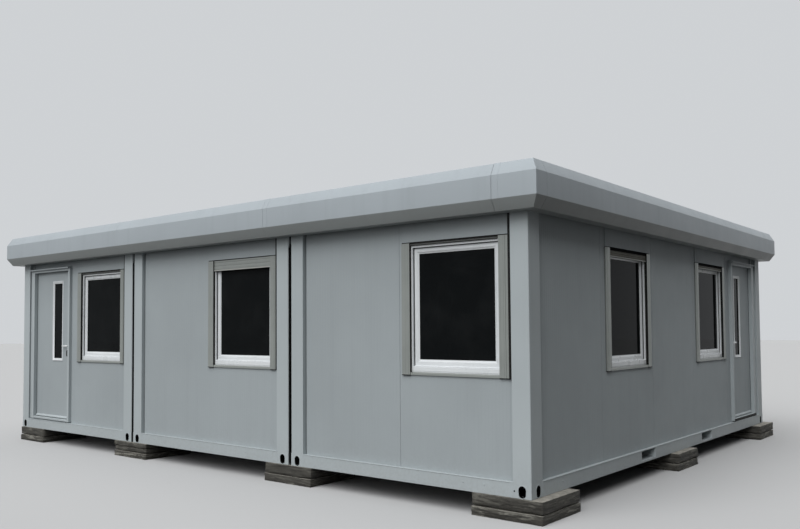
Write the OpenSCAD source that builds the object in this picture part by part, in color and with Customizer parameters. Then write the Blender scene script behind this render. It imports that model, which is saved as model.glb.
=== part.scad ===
// Portable site cabin: three steel-framed modules side by side on block stacks, under one folded roof fascia.
// Millimetres, +Z up. The origin is on the ground under the middle of the cabin, and the front faces -Y.

/* [Modules] */
// Width of one module, along the front
mod_w = 2600; // [2500:10:2800]
// Length of one module, front to back
mod_l = 6460; // [6300:10:7000]
// Height of one module, from the underside of its base frame to the top of its roof frame
mod_h = 2591; // [2560:1:2700]
// Open joint between two modules
mod_gap = 42; // [20:1:60]

/* [Steel frame] */
// Width of a corner post across the end of a module
post_x = 160; // [140:1:200]
// Width of a corner post along the side of a module
post_y = 178; // [140:1:220]
// Radius of a post's outer corner
post_r = 9; // [2:1:20]
// Height of the base frame's rails and corner castings
rail_h = 118; // [100:1:130]
// Depth of the rails, inwards from the face of the frame
rail_d = 96; // [60:1:100]
// Height of the underside of the roof frame over the underside of the base frame
roof_frame_z = 2232; // [2200:1:2300]
// Depth of the roof frame's rails
roof_rail_d = 90; // [60:1:100]
// Width of the oval lashing hole in a corner casting
oval_w = 58; // [40:1:64]
// Height of the oval lashing hole
oval_h = 80; // [60:1:90]
// Height of the wider head of a post
head_h = 120; // [60:1:200]
// Height of the slope under a post's head
head_slope = 45; // [10:1:80]
// How far a post's head reaches into the joint between modules
head_out = 9; // [4:1:10]
// Width of a fork pocket
fork_w = 352; // [300:1:400]
// Height of a fork pocket
fork_h = 90; // [70:1:94]
// Distance between the middles of the two fork pockets
fork_pitch = 1760; // [1200:10:2200]

/* [Walls and floor] */
// Thickness of a wall panel
wall_t = 60; // [50:1:110]
// How far the wall panels stand back behind the posts
wall_recess = 38; // [26:1:50]
// Width of the shadow joint beside a post
edge_groove = 12; // [6:1:30]
// Width of the joint between two wall panels
seam_w = 4; // [3:1:12]
// Depth of the joint between two wall panels
seam_d = 3; // [2:1:12]
// Height of the floor's walking surface
floor_z = 145; // [130:1:160]
// Height of the ceiling
ceiling_z = 2345; // [2300:1:2400]

/* [Windows] */
// Width over a window's two shutter guides
win_w = 1066; // [1040:1:1100]
// Height of the bottom of the shutter guides
win_z0 = 910; // [850:1:1000]
// Height of the top of the shutter guides
win_z1 = 2048; // [1900:1:2060]
// Width of one shutter guide
guide_w = 90; // [60:1:110]
// How far the guides stand out from the wall panels
guide_out = 18; // [12:1:26]
// Width of the open joint between an end window's guide and the post beside it
win_joint = 31; // [10:1:40]
// Visible width of the fixed white frame beside a guide
frame_w = 14; // [10:1:40]
// Width of the sash beside and over the glass
sash_w = 52; // [20:1:60]
// Height of the sash under the glass
sash_foot = 60; // [40:1:70]
// Height of the bottom of the glass
glass_z0 = 1046; // [980:1:1100]
// Height of the top of the glass
glass_z1 = 1955; // [1900:1:1980]
// How far the white frame stands back behind the posts' face
frame_back = 48; // [46:1:60]

/* [Doors] */
// Width of a door leaf
leaf_w = 885; // [800:1:900]
// Height of the bottom of a leaf
leaf_z0 = 166; // [160:1:180]
// Height of the top of a leaf
leaf_z1 = 2108; // [1900:1:2120]
// Thickness of a leaf
leaf_t = 40; // [35:1:60]
// How far a leaf stands back behind the posts' face
leaf_back = 50; // [40:1:55]
// Width of a door frame's jamb on the hinge side, beside the leaf
jamb_w = 62; // [50:1:80]
// Width of a door frame's jamb on the lock side, beside the leaf
lock_jamb_w = 22; // [16:1:60]
// Running gap round a leaf
leaf_gap = 8; // [7:1:12]
// How far the frame's lip covers the edge of the leaf
lip = 10; // [5:1:15]

/* [Roof fascia] */
// How far the fascia's upright face stands out from the modules
fascia_out = 171; // [120:1:220]
// Height of the lower fold of the upright face
fascia_low = 2308; // [2280:1:2330]
// Height of the upper fold of the upright face
fascia_high = 2494; // [2450:1:2520]
// How far out the lower edge of the fascia is
fascia_lip_out = 113; // [90:1:140]
// Height of the lower edge of the fascia
fascia_lip_z = 2215; // [2200:1:2230]
// How far out the ridge of the fascia is
fascia_ridge_out = 119; // [90:1:140]
// Thickness of the folded sheet
fascia_t = 3; // [2:0.5:5]

/* [Block stacks] */
// Height of the stacks that the cabin stands on
stack_h = 180; // [120:5:260]
// Side of one slab
slab = 640; // [450:10:700]

/* [Hidden] */
$fn = 32;

bays = 3;
total_w = bays * mod_w + (bays - 1) * mod_gap;
mod_x = [for (i = [0:bays - 1]) i * (mod_w + mod_gap)];
// How far a cut runs on past the faces it goes through
over = 5;

// Colours
frame_grey = [0.66, 0.69, 0.70];
panel_grey = [0.63, 0.66, 0.67];
fascia_grey = [0.70, 0.73, 0.75];
pvc_white = [0.93, 0.94, 0.94];
aluminium = [0.60, 0.62, 0.60];
glass_dark = [0.10, 0.13, 0.14, 0.5];
rubber_black = [0.06, 0.06, 0.06];
concrete = [0.48, 0.46, 0.43];
floor_grey = [0.45, 0.45, 0.43];
steel = [0.75, 0.76, 0.77];

// Side walls: the joints between panels, and the windows in the middle of the second and the fourth panel
side_pitch = 1221;
side_seams = [for (k = [0:3]) post_y + 1201 + k * side_pitch];
side_win_mids = [side_seams[0] + side_pitch / 2 + 20, side_seams[2] + side_pitch / 2 + 20];
// End walls: the joint in the right module, and the window close to the right post
end_seam = 1312;
end_win_mid = mod_w - post_x - win_joint - win_w / 2;
// Shutter guides: the inner web that reaches back to the white frame
web_w = 24;
guide_y = wall_recess - guide_out;
// The opening in the wall that holds a window frame, with the frame as wide as the opening
hole_w = win_w - 2 * guide_w + 2 * web_w;
hole_z0 = win_z0 + 22;
hole_z1 = win_z1 + 12;
sash_open_w = hole_w - 2 * web_w - 2 * frame_w;
frame_d = 48;
sash_step = 22;
glass_back = 31;
glass_t = 16;
// The shutter's curtain: its depth, and the underside of the box it hangs from
slat_y = wall_recess - 5;
slat_t = 12;
box_z0 = win_z1 + 8;
// Doors: where the frames start, and where the lips and the leaf start
front_door_x = 205;
side_door_y = 5190;
door_w = jamb_w + leaf_w + 2 * leaf_gap + lock_jamb_w;
head_t = 18;
door_z1 = leaf_z1 + leaf_gap + head_t;
leaf_x0 = jamb_w + leaf_gap;
open_x = [leaf_x0 + lip, leaf_x0 + leaf_w - lip];
hinge_depth = leaf_back + leaf_t + 18;
hinge_in = leaf_x0 - 5;
// Corner casting: middles of the oval holes from the ends of the module
hole_in_x = 80;
hole_in_y = 108;
hole_z = 50;
fork_z = 18;
// Fascia: the joints between its lengths, the gap at a plain mitre, and the long arm of a corner piece
joint = 3;
mitre_gap = 0.5;
corner_long = 222;

// Moves from the cabin's own measure (left front corner of the first base frame) to the origin
module in_frame() translate([-total_w / 2, -mod_l / 2, stack_h]) children();

// Puts a facade on each side: x runs along it to the right as seen from outside, y runs inwards
module on_front() children();
module on_right() translate([total_w, 0, 0]) rotate([0, 0, 90]) children();
module on_back() translate([total_w, mod_l, 0]) rotate([0, 0, 180]) children();
module on_left() translate([0, mod_l, 0]) rotate([0, 0, -90]) children();

module box(x, y, z) {
    translate([x[0], y[0], z[0]]) cube([x[1] - x[0], y[1] - y[0], z[1] - z[0]]);
}

// BASE FRAMES

// Upright oval cut, along +Y, its middle at the origin
module oval_cut(depth) {
    r = oval_w / 2;
    rise = (oval_h - oval_w) / 2;
    rotate([-90, 0, 0]) {
        for (s = [-1, 1]) translate([0, s * rise, 0]) cylinder(r = r, h = depth);
        translate([-r, -rise, 0]) cube([oval_w, 2 * rise, depth]);
    }
}

// Hollow corner casting with an oval hole in both outer faces, for the corner at the origin
module corner_casting() {
    wall = 14;
    difference() {
        cube([post_x, post_y, rail_h]);
        translate([wall, wall, wall]) cube([post_x - 2 * wall, post_y - 2 * wall, rail_h - 2 * wall]);
        translate([hole_in_x, -over, hole_z]) oval_cut(wall + 2 * over);
        translate([-over, hole_in_y, hole_z]) rotate([0, 0, -90]) mirror([1, 0, 0]) oval_cut(wall + 2 * over);
    }
}

module at_corners() {
    for (mx = [0, 1], my = [0, 1])
        translate([mx * mod_w, my * mod_l, 0]) mirror([mx, 0, 0]) mirror([0, my, 0]) children();
}

module base_frame(i) {
    joists = 9;
    joist_w = 60;
    joist_z = 20;
    step = (mod_l - 2 * rail_d) / (joists + 1);
    tunnel_t = 5;
    fork_ys = [for (s = [-1, 1]) mod_l / 2 + s * fork_pitch / 2 - fork_w / 2];
    translate([mod_x[i], 0, 0]) difference() {
        union() {
            at_corners() corner_casting();
            for (y = [0, mod_l - rail_d]) translate([post_x, y, 0])
                cube([mod_w - 2 * post_x, rail_d, rail_h]);
            for (x = [0, mod_w - rail_d]) translate([x, post_y, 0])
                cube([rail_d, mod_l - 2 * post_y, rail_h]);
            for (j = [1:joists]) translate([rail_d, rail_d + j * step - joist_w / 2, joist_z])
                cube([mod_w - 2 * rail_d, joist_w, rail_h - joist_z]);
            for (y = fork_ys) translate([0, y - tunnel_t, fork_z - tunnel_t])
                cube([mod_w, fork_w + 2 * tunnel_t, fork_h + 2 * tunnel_t]);
        }
        for (y = fork_ys) translate([-over, y, fork_z])
            cube([mod_w + 2 * over, fork_w, fork_h]);
    }
}

module base_frame_a() color(frame_grey) in_frame() base_frame(0);
module base_frame_b() color(frame_grey) in_frame() base_frame(1);
module base_frame_c() color(frame_grey) in_frame() base_frame(2);

// FLOORS, CEILINGS AND ROOF

inner = wall_recess + wall_t;
function room_x0(i) = i == 0 ? inner : 0;
function room_x1(i) = i == bays - 1 ? mod_w - inner : mod_w;

module room_plate(i, z0, z1) {
    translate([mod_x[i], 0, 0]) difference() {
        box([room_x0(i), room_x1(i)], [inner, mod_l - inner], [z0, z1]);
        at_corners() box([-over, post_x], [-over, post_y], [z0 - over, z1 + over]);
    }
}

module floor_decks() color(floor_grey) in_frame() for (i = [0:bays - 1]) room_plate(i, rail_h, floor_z);

// A plate between the rails of one roof frame
module roof_plate(i, z0, z1) {
    translate([mod_x[i], 0, 0]) difference() {
        box([roof_rail_d, mod_w - roof_rail_d], [roof_rail_d, mod_l - roof_rail_d], [z0, z1]);
        at_corners() box([-over, post_x], [-over, post_y], [z0 - over, z1 + over]);
    }
}

module ceilings() color("white") in_frame() for (i = [0:bays - 1]) roof_plate(i, ceiling_z, ceiling_z + 30);

// The roof frame of each module: blocks over the posts, and the rails between them
module each_module() for (x = mod_x) translate([x, 0, 0]) children();

module roof_corner_blocks() color(frame_grey) in_frame() each_module() at_corners()
    box([0, post_x], [0, post_y], [roof_frame_z, mod_h]);
module roof_end_rails() color(frame_grey) in_frame() each_module() for (y = [0, mod_l - roof_rail_d])
    box([post_x, mod_w - post_x], [y, y + roof_rail_d], [roof_frame_z, mod_h]);
module roof_side_rails() color(frame_grey) in_frame() each_module() for (x = [0, mod_w - roof_rail_d])
    box([x, x + roof_rail_d], [post_y, mod_l - post_y], [roof_frame_z, mod_h]);

// Roof sheet with standing ribs that run front to back
module roof_deck(i) {
    ribs = 8;
    rib_w = 40;
    rib_h = 22;
    sheet_t = 20;
    deck_z = mod_h - 60;
    x0 = mod_x[i] + roof_rail_d;
    step = (mod_w - 2 * roof_rail_d) / (ribs + 1);
    roof_plate(i, deck_z - sheet_t, deck_z);
    for (k = [1:ribs]) translate([x0 + k * step - rib_w / 2, roof_rail_d, deck_z - 1])
        cube([rib_w, mod_l - 2 * roof_rail_d, rib_h + 1]);
}

// Folded cap over the joint before module i
module roof_joint_cap(i) {
    cap_over = 40;
    translate([mod_x[i] - mod_gap - cap_over, fascia_flange, mod_h])
        cube([mod_gap + 2 * cap_over, mod_l - 2 * fascia_flange, fascia_t]);
}

module roof_decks() color(frame_grey) in_frame() {
    for (i = [0:bays - 1]) roof_deck(i);
    for (i = [1:bays - 1]) roof_joint_cap(i);
}

// Rubber seals that close the joints between modules, a little behind the posts' face
module module_seals() color(rubber_black) in_frame() for (i = [1:bays - 1]) {
    x0 = mod_x[i] - mod_gap;
    seal_back = 14;
    seal_t = 40;
    y0 = seal_back + seal_t;
    y1 = mod_l - y0;
    for (y = [seal_back, y1]) {
        box([x0, x0 + mod_gap], [y, y + seal_t], [rail_h / 2, roof_frame_z - head_h]);
        box([x0 + head_out, x0 + mod_gap - head_out], [y, y + seal_t], [roof_frame_z - head_h - 1, mod_h]);
    }
    box([x0, x0 + mod_gap], [y0, y1], [rail_h, floor_z]);
    box([x0, x0 + mod_gap], [y0, y1], [roof_frame_z, ceiling_z]);
}

// POSTS

// Corner post with a rounded outer corner, for the corner at the origin.
// On the side of the next module its head is wider.
module corner_post(head) {
    translate([0, 0, rail_h]) linear_extrude(height = roof_frame_z - rail_h) union() {
        translate([post_r, 0]) square([post_x - post_r, post_y]);
        translate([0, post_r]) square([post_x, post_y - post_r]);
        translate([post_r, post_r]) circle(r = post_r);
    }
    head_z = roof_frame_z - head_h;
    if (head) translate([0, post_y - post_r, 0]) rotate([90, 0, 0])
        linear_extrude(height = post_y - 2 * post_r) polygon([
            [over, head_z], [0, head_z], [-head_out, head_z + head_slope],
            [-head_out, roof_frame_z], [over, roof_frame_z]
        ]);
}

module posts_of_end(my) for (i = [0:bays - 1]) for (mx = [0, 1])
    translate([mod_x[i] + mx * mod_w, my * mod_l, 0]) mirror([mx, 0, 0]) mirror([0, my, 0])
        corner_post(i + mx > 0 && i + mx < bays);

module front_posts() color(frame_grey) in_frame() posts_of_end(0);
module back_posts() color(frame_grey) in_frame() posts_of_end(1);

// WALLS

// Panels from x0 to x1 of a facade, with a shadow joint where an end meets a post
groove_back = wall_recess + wall_t / 2;
module wall_run(x0, x1, groove0 = true, groove1 = true) {
    a = groove0 ? edge_groove : 0;
    b = groove1 ? edge_groove : 0;
    box([x0 + a, x1 - b], [wall_recess, groove_back + 1], [rail_h, roof_frame_z]);
    box([x0, x1], [groove_back, inner], [rail_h, roof_frame_z]);
}

// The panel over a door, set back to the depth of the leaf
module over_door(x0)
    box([x0, x0 + door_w], [leaf_back, inner], [door_z1, roof_frame_z]);

module seam(x) {
    box([x - seam_w / 2, x + seam_w / 2], [wall_recess - over, wall_recess + seam_d],
        [rail_h - over, roof_frame_z + over]);
}

module window_hole(mid) {
    box([mid - hole_w / 2, mid + hole_w / 2], [wall_recess - over, inner + over], [hole_z0, hole_z1]);
}

// The hole of an end wall's window, and the joint from its right guide to the post, up to the roof frame
module end_window_hole() {
    window_hole(end_win_mid);
    box([mod_w - post_x - win_joint, mod_w - post_x], [wall_recess - over, groove_back],
        [win_z0, roof_frame_z + over]);
}

// The end wall of one module, all of it panels; only the right module shows a joint between them
module end_wall(i) translate([mod_x[i], 0, 0]) difference() {
    wall_run(post_x, mod_w - post_x);
    if (i == bays - 1) seam(end_seam);
    end_window_hole();
}

module front_wall_a() color(panel_grey) in_frame() {
    wall_run(post_x, front_door_x, true, false);
    difference() {
        wall_run(front_door_x + door_w, mod_w - post_x, false, true);
        end_window_hole();
    }
}

module front_wall_over_door() color(panel_grey) in_frame() over_door(front_door_x);
module front_wall_b() color(panel_grey) in_frame() end_wall(1);
module front_wall_c() color(panel_grey) in_frame() end_wall(2);
module back_walls() color(panel_grey) in_frame() on_back() for (i = [0:bays - 1]) end_wall(i);

module right_wall() color(panel_grey) in_frame() on_right() {
    difference() {
        wall_run(post_y, side_door_y, true, false);
        for (x = side_seams) seam(x);
        for (mid = side_win_mids) window_hole(mid);
    }
    wall_run(side_door_y + door_w, mod_l - post_y, false, true);
}

module right_wall_over_door() color(panel_grey) in_frame() on_right() over_door(side_door_y);

module left_wall() color(panel_grey) in_frame() on_left() difference() {
    wall_run(post_y, mod_l - post_y);
    for (x = side_seams) seam(x);
    for (mid = side_win_mids) window_hole(mid);
}

// FASCIA

// The fold line of the sheet's outside, as distances out from the wall line and heights
fascia_flange = 60;
fascia_line = [
    [-fascia_flange, mod_h + fascia_t],
    [fascia_ridge_out, mod_h + fascia_t],
    [fascia_out, fascia_high],
    [fascia_out, fascia_low],
    [fascia_lip_out, fascia_lip_z],
    [0, fascia_lip_z]
];

function unit(v) = v / norm(v);
function right_of(v) = [v[1], -v[0]];
// The point of a fold line moved inwards by t, on the mitre of its two sides
function inset_point(line, k, t) =
    let (a = k > 0 ? right_of(unit(line[k] - line[k - 1])) : right_of(unit(line[k + 1] - line[k])))
    let (b = k < len(line) - 1 ? right_of(unit(line[k + 1] - line[k])) : a)
    line[k] + t * (a + b) / (1 + a * b);

module fascia_profile() {
    back = [for (k = [len(fascia_line) - 1:-1:0]) inset_point(fascia_line, k, fascia_t)];
    polygon(concat(fascia_line, back));
}

// A straight length of the fascia of a facade, from x0 to x1
module fascia_run(x0, x1) {
    translate([x0, 0, 0]) rotate([90, 0, 90]) linear_extrude(height = x1 - x0)
        mirror([1, 0]) fascia_profile();
}

// The space of one facade, between the mitre planes of its two corners, each of them moved in by gap
module mitred_space(len, gap = 0) {
    reach = fascia_out + 40;
    depth = fascia_flange + 40;
    linear_extrude(height = mod_h + 100) polygon([
        [gap - reach, -reach], [len + reach - gap, -reach],
        [len - depth - gap, depth], [depth + gap, depth]
    ]);
}

// A long side's fascia is one length, from the joint at its left corner to the mitre at its right corner
module fascia_long(len) intersection() {
    fascia_run(joint / 2, len + fascia_out);
    mitred_space(len, mitre_gap);
}

// An end's fascia has lengths of a module's width, counted from the corner piece at the right
module fascia_lengths(len) intersection() {
    for (x1 = [len - corner_long:-mod_w:1])
        fascia_run(x1 - mod_w > 0 ? x1 - mod_w + joint / 2 : -fascia_out, x1 - joint / 2);
    mitred_space(len, mitre_gap);
}

// The corner piece at an end's right: a long arm along it and a short one round the corner,
// mitred in every fold
module fascia_corner(len) {
    intersection() {
        fascia_run(len - corner_long + joint / 2, len + fascia_out);
        mitred_space(len);
    }
    translate([len, 0, 0]) rotate([0, 0, 90]) intersection() {
        fascia_run(-fascia_out, -joint / 2);
        mitred_space(mod_l);
    }
}

module fascia_front() color(fascia_grey) in_frame() on_front() fascia_lengths(total_w);
module fascia_right() color(fascia_grey) in_frame() on_right() fascia_long(mod_l);
module fascia_back() color(fascia_grey) in_frame() on_back() fascia_lengths(total_w);
module fascia_left() color(fascia_grey) in_frame() on_left() fascia_long(mod_l);
module fascia_corners() color(fascia_grey) in_frame() {
    on_front() fascia_corner(total_w);
    on_back() fascia_corner(total_w);
}

// WINDOWS

// Runs its children once at the middle of each window; $lowered is how far its shutter is down
module each_window() {
    front_lowered = [22, 112, 22];
    right_lowered = [84, 60];
    on_front() for (i = [0:bays - 1]) translate([mod_x[i] + end_win_mid, 0, 0]) {
        $lowered = front_lowered[i];
        children();
    }
    on_right() for (k = [0:1]) translate([side_win_mids[k], 0, 0]) {
        $lowered = right_lowered[k];
        children();
    }
    on_back() for (i = [0:bays - 1]) translate([mod_x[i] + end_win_mid, 0, 0]) {
        $lowered = 22;
        children();
    }
    on_left() for (k = [0:1]) translate([side_win_mids[k], 0, 0]) {
        $lowered = 22;
        children();
    }
}

// Fixed frame as wide as the opening, and the sash inside it a step further back
module window_frame() {
    sash_z0 = glass_z0 - sash_foot;
    sash_z1 = glass_z1 + sash_w;
    pane_w = sash_open_w - 2 * sash_w;
    back = frame_back + frame_d;
    difference() {
        box([-hole_w / 2, hole_w / 2], [frame_back, back], [hole_z0, hole_z1]);
        box([-sash_open_w / 2, sash_open_w / 2], [frame_back - over, back + over], [sash_z0, sash_z1]);
    }
    difference() {
        box([-sash_open_w / 2, sash_open_w / 2], [frame_back + sash_step, back], [sash_z0, sash_z1]);
        box([-pane_w / 2, pane_w / 2], [frame_back, back + over], [glass_z0, glass_z1]);
    }
}

module window_frames() color(pvc_white) in_frame() each_window() window_frame();

module window_glass() color(glass_dark) in_frame() each_window() {
    pane_w = sash_open_w - 2 * sash_w;
    box([-pane_w / 2, pane_w / 2], [frame_back + glass_back, frame_back + glass_back + glass_t],
        [glass_z0, glass_z1]);
}

// One shutter guide, from x = 0 inwards along +X: an outer flange, a body that stands a little further out,
// and a web back to the white frame, with the slot that takes the ends of the slats
module shutter_guide() {
    flange_w = 30;
    flange_step = 4;
    slot_in = 16;
    difference() {
        union() {
            box([0, flange_w + 1], [guide_y + flange_step, wall_recess], [win_z0, win_z1]);
            box([flange_w, guide_w], [guide_y, wall_recess], [win_z0, win_z1]);
            box([guide_w - web_w, guide_w], [wall_recess - 1, frame_back], [hole_z0, win_z1]);
        }
        box([guide_w - slot_in, guide_w + over], [slat_y - 1, slat_y + slat_t + 1],
            [win_z0 - over, win_z1 + over]);
    }
}

// Sloping strip under the white frame, between the guides
module sill_strip() {
    w = win_w - 2 * guide_w;
    front_y = guide_y + 6;
    nose_h = 20;
    z0 = win_z0 + 2;
    rotate([90, 0, 90]) translate([0, 0, -w / 2]) linear_extrude(height = w) polygon([
        [front_y, z0], [front_y, z0 + nose_h], [frame_back, hole_z0 + 8],
        [frame_back, hole_z0], [wall_recess, hole_z0], [wall_recess, z0]
    ]);
}

module shutter_guides() color(aluminium) in_frame() each_window() {
    for (s = [0, 1]) mirror([s, 0, 0]) translate([-win_w / 2, 0, 0]) shutter_guide();
    sill_strip();
}

// Cover of the box that the shutter rolls up into, over the window
module shutter_boxes() color(panel_grey) in_frame() each_window() {
    cover_out = 8;
    side_in = 4;
    box([-win_w / 2 + side_in, win_w / 2 - side_in], [wall_recess - cover_out, wall_recess],
        [box_z0, roof_frame_z]);
}

// The lowered part of the shutter: hollow slats that hook together, with a heavier bar at the bottom
module shutter_slats() color(aluminium) in_frame() each_window() {
    pitch = 37;
    slat_in = 12;
    slat_w = win_w - 2 * guide_w + 2 * slat_in;
    bar_h = 14;
    hook = 3;
    z_bar = win_z1 - $lowered;
    box([-slat_w / 2, slat_w / 2], [slat_y, slat_y + slat_t], [z_bar, z_bar + bar_h]);
    box([-slat_w / 2, slat_w / 2], [slat_y + hook, slat_y + slat_t - hook], [z_bar + bar_h - 1, box_z0]);
    for (z = [z_bar + bar_h:pitch:box_z0 - hook])
        box([-slat_w / 2, slat_w / 2], [slat_y + 1, slat_y + slat_t - 1],
            [z + hook, min(z + pitch - 1, box_z0)]);
}

// DOORS

module at_front_door() translate([front_door_x, 0, 0]) children();
module at_side_door() on_right() translate([side_door_y + door_w, 0, 0]) mirror([1, 0, 0]) children();

// Folded steel frame whose lip the leaf shuts against, with a threshold and a drip rail over the head.
// x = 0 is the outer edge of the jamb on the hinge side.
module door_frame() {
    floor_gap = 7;
    lip_gap = 5;
    line = [30, 33];
    line_top = door_z1 - 15;
    line_d = 4;
    foot_h = 16;
    foot_d = 30;
    difference() {
        box([0, door_w], [0, inner], [rail_h, door_z1]);
        box([jamb_w, door_w - lock_jamb_w], [leaf_back - lip_gap, inner + over],
            [leaf_z0 - floor_gap, leaf_z1 + leaf_gap]);
        box(open_x, [-over, inner + over], [leaf_z0 - floor_gap, leaf_z1 - lip]);
        box(line, [-over, line_d], [rail_h + foot_h, line_top]);
        box([foot_h / 2, door_w - foot_h / 2], [-over, foot_d], [rail_h + 1, rail_h + foot_h]);
    }
    drip_rail();
}

// Drip rail: it slopes down from the panel over the door and turns down at its front edge
module drip_rail() {
    out = 26;
    rise = 22;
    t = 3;
    edge = [door_z1 - 6, door_z1 + 8];
    rotate([90, 0, 90]) linear_extrude(height = door_w) polygon([
        [leaf_back, door_z1], [leaf_back, door_z1 + rise], [-out, edge[1]],
        [-out, edge[0]], [t - out, edge[0]], [t - out, door_z1 + t], [0, door_z1 + t], [0, door_z1]
    ]);
}

// The leaf, with the hole for its glazed slot and a sloping weather bar at its foot
slot_w = 260;
slot_border = 34;
slot_mid = leaf_x0 + 550;
slot_z = [916, 1972];
slot_rebate = 14;
slot_groove = 8;

module leaf_body() {
    difference() {
        box([leaf_x0, leaf_x0 + leaf_w], [leaf_back, leaf_back + leaf_t], [leaf_z0, leaf_z1]);
        box([slot_mid - slot_w / 2 + slot_rebate, slot_mid + slot_w / 2 - slot_rebate],
            [leaf_back - over, leaf_back + leaf_t + over],
            [slot_z[0] + slot_rebate, slot_z[1] - slot_rebate]);
    }
    weather_bar();
}

module weather_bar() {
    x0 = open_x[0] + leaf_gap;
    x1 = open_x[1] - leaf_gap;
    out = 14;
    foot = leaf_z0 + 2;
    rotate([90, 0, 90]) translate([0, 0, x0]) linear_extrude(height = x1 - x0) polygon([
        [leaf_back + 1, foot], [leaf_back + 1, foot + 26], [leaf_back - out, foot + 12],
        [leaf_back - out, foot]
    ]);
}

// The white frame of the slot: a bead on both faces of the leaf and the lining between them
module slot_frame() {
    bead = 7;
    y0 = leaf_back - bead;
    y1 = leaf_back + leaf_t + bead;
    x0 = slot_mid - slot_w / 2;
    x1 = slot_mid + slot_w / 2;
    difference() {
        union() {
            for (y = [y0, y1 - bead]) box([x0, x1], [y, y + bead], slot_z);
            box([x0 + slot_rebate, x1 - slot_rebate], [y0, y1],
                [slot_z[0] + slot_rebate, slot_z[1] - slot_rebate]);
        }
        box([x0 + slot_border, x1 - slot_border], [y0 - over, y1 + over],
            [slot_z[0] + slot_border, slot_z[1] - slot_border]);
        slot_glass();
    }
}

module slot_glass() {
    y0 = leaf_back + (leaf_t - glass_t) / 2;
    edge = slot_rebate + slot_groove;
    box([slot_mid - slot_w / 2 + edge, slot_mid + slot_w / 2 - edge], [y0, y0 + glass_t],
        [slot_z[0] + edge, slot_z[1] - edge]);
}

// Lever and long plate, on both faces of the leaf, with the lock's cylinder under the lever
module leaf_handle() {
    lever_z = 1112;
    backset = 65;
    plate = [42, 8];
    plate_z = [lever_z - 150, lever_z + 50];
    lever_len = 118;
    lever_r = 10;
    neck = 44;
    neck_r = 11;
    lock_down = 92;
    lock_r = 9;
    lock_out = 14;
    for (side = [0, 1])
        translate([leaf_x0 + leaf_w - backset, leaf_back + side * leaf_t, 0]) mirror([0, 1 - side, 0]) {
        box([-plate[0] / 2, plate[0] / 2], [0, plate[1]], plate_z);
        translate([0, 0, lever_z]) rotate([-90, 0, 0]) cylinder(r = neck_r, h = neck);
        translate([neck_r, neck - neck_r, lever_z]) rotate([0, -90, 0])
            cylinder(r = lever_r, h = lever_len + neck_r);
        translate([0, 0, lever_z - lock_down]) rotate([-90, 0, 0]) cylinder(r = lock_r, h = lock_out);
    }
}

// Lift-off hinges on the room side.
// The lower half with its pin stays on the frame, and the upper half is the leaf's.
hinge_zs = [400, 1180, 1900];
knuckle_r = 9;
knuckle_h = 48;
pin_r = 5;
hinge_t = 5;

module at_hinges(lift) for (z = hinge_zs) translate([hinge_in, hinge_depth, z + lift]) children();

module frame_hinge() {
    wing = 44;
    cylinder(r = knuckle_r, h = knuckle_h);
    cylinder(r = pin_r, h = 2 * knuckle_h - 6);
    translate([-wing, inner - hinge_depth, 0]) cube([wing, hinge_t, knuckle_h]);
}

module leaf_hinge() {
    wing = 46;
    foot = 12;
    pin_gap = 0.05;
    difference() {
        union() {
            cylinder(r = knuckle_r, h = knuckle_h);
            translate([0, -knuckle_r, 0]) cube([wing, hinge_t, knuckle_h]);
            box([foot, wing], [leaf_back + leaf_t - hinge_depth, -knuckle_r + 1], [0, knuckle_h]);
        }
        translate([0, 0, -over]) cylinder(r = pin_r + pin_gap, h = knuckle_h + 2 * over);
    }
}

module frame_hinges() at_hinges(0) frame_hinge();
module leaf_hinges() at_hinges(knuckle_h + 1) leaf_hinge();

module front_door_frame() color(frame_grey) in_frame() at_front_door() door_frame();
module front_door_leaf() color(panel_grey) in_frame() at_front_door() {
    leaf_body();
    leaf_hinges();
}
module front_door_slot_frame() color(pvc_white) in_frame() at_front_door() slot_frame();
module front_door_glass() color(glass_dark) in_frame() at_front_door() slot_glass();
module front_door_handle() color(steel) in_frame() at_front_door() leaf_handle();
module front_door_hinges() color(steel) in_frame() at_front_door() frame_hinges();
module side_door_frame() color(frame_grey) in_frame() at_side_door() door_frame();
module side_door_leaf() color(panel_grey) in_frame() at_side_door() {
    leaf_body();
    leaf_hinges();
}
module side_door_slot_frame() color(pvc_white) in_frame() at_side_door() slot_frame();
module side_door_glass() color(glass_dark) in_frame() at_side_door() slot_glass();
module side_door_handle() color(steel) in_frame() at_side_door() leaf_handle();
module side_door_hinges() color(steel) in_frame() at_side_door() frame_hinges();

// BLOCK STACKS

// Sum of the first n values of a list
function sum_to(list, n) = n == 0 ? 0 : list[n - 1] + sum_to(list, n - 1);

// Layers of a stack from the ground up, as shares of its height
two_layers = [0.42, 0.58];
three_layers = [0.36, 0.30, 0.34];

// Slabs laid on one another round the middle x, y, every other layer a little wider
module stack(x, y, layers, w, d) {
    aside = 7;
    for (k = [0:len(layers) - 1]) {
        more = k % 2 == 0 ? aside : 0;
        translate([x - w / 2 - more, y - d / 2 - more, -stack_h + stack_h * sum_to(layers, k)])
            cube([w + more, d + 2 * more, stack_h * layers[k]]);
    }
}

small_slab = slab - 40;
stack_xs = [285, mod_x[1] - mod_gap, mod_x[2] - mod_gap, total_w - 216];
stack_ws = [small_slab, slab, slab, slab];
front_y = 305;
middle_y = mod_l / 2 + 19;
back_y = mod_l - 187;

module front_blocks() color(concrete) in_frame() for (k = [0:bays])
    stack(stack_xs[k], front_y, k == 1 ? three_layers : two_layers, stack_ws[k], slab);
module middle_blocks() color(concrete) in_frame() for (x = stack_xs)
    stack(x, middle_y, two_layers, small_slab, small_slab);
module back_blocks() color(concrete) in_frame() for (k = [0:bays])
    stack(stack_xs[k], back_y, two_layers, stack_ws[k], slab);

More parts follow.
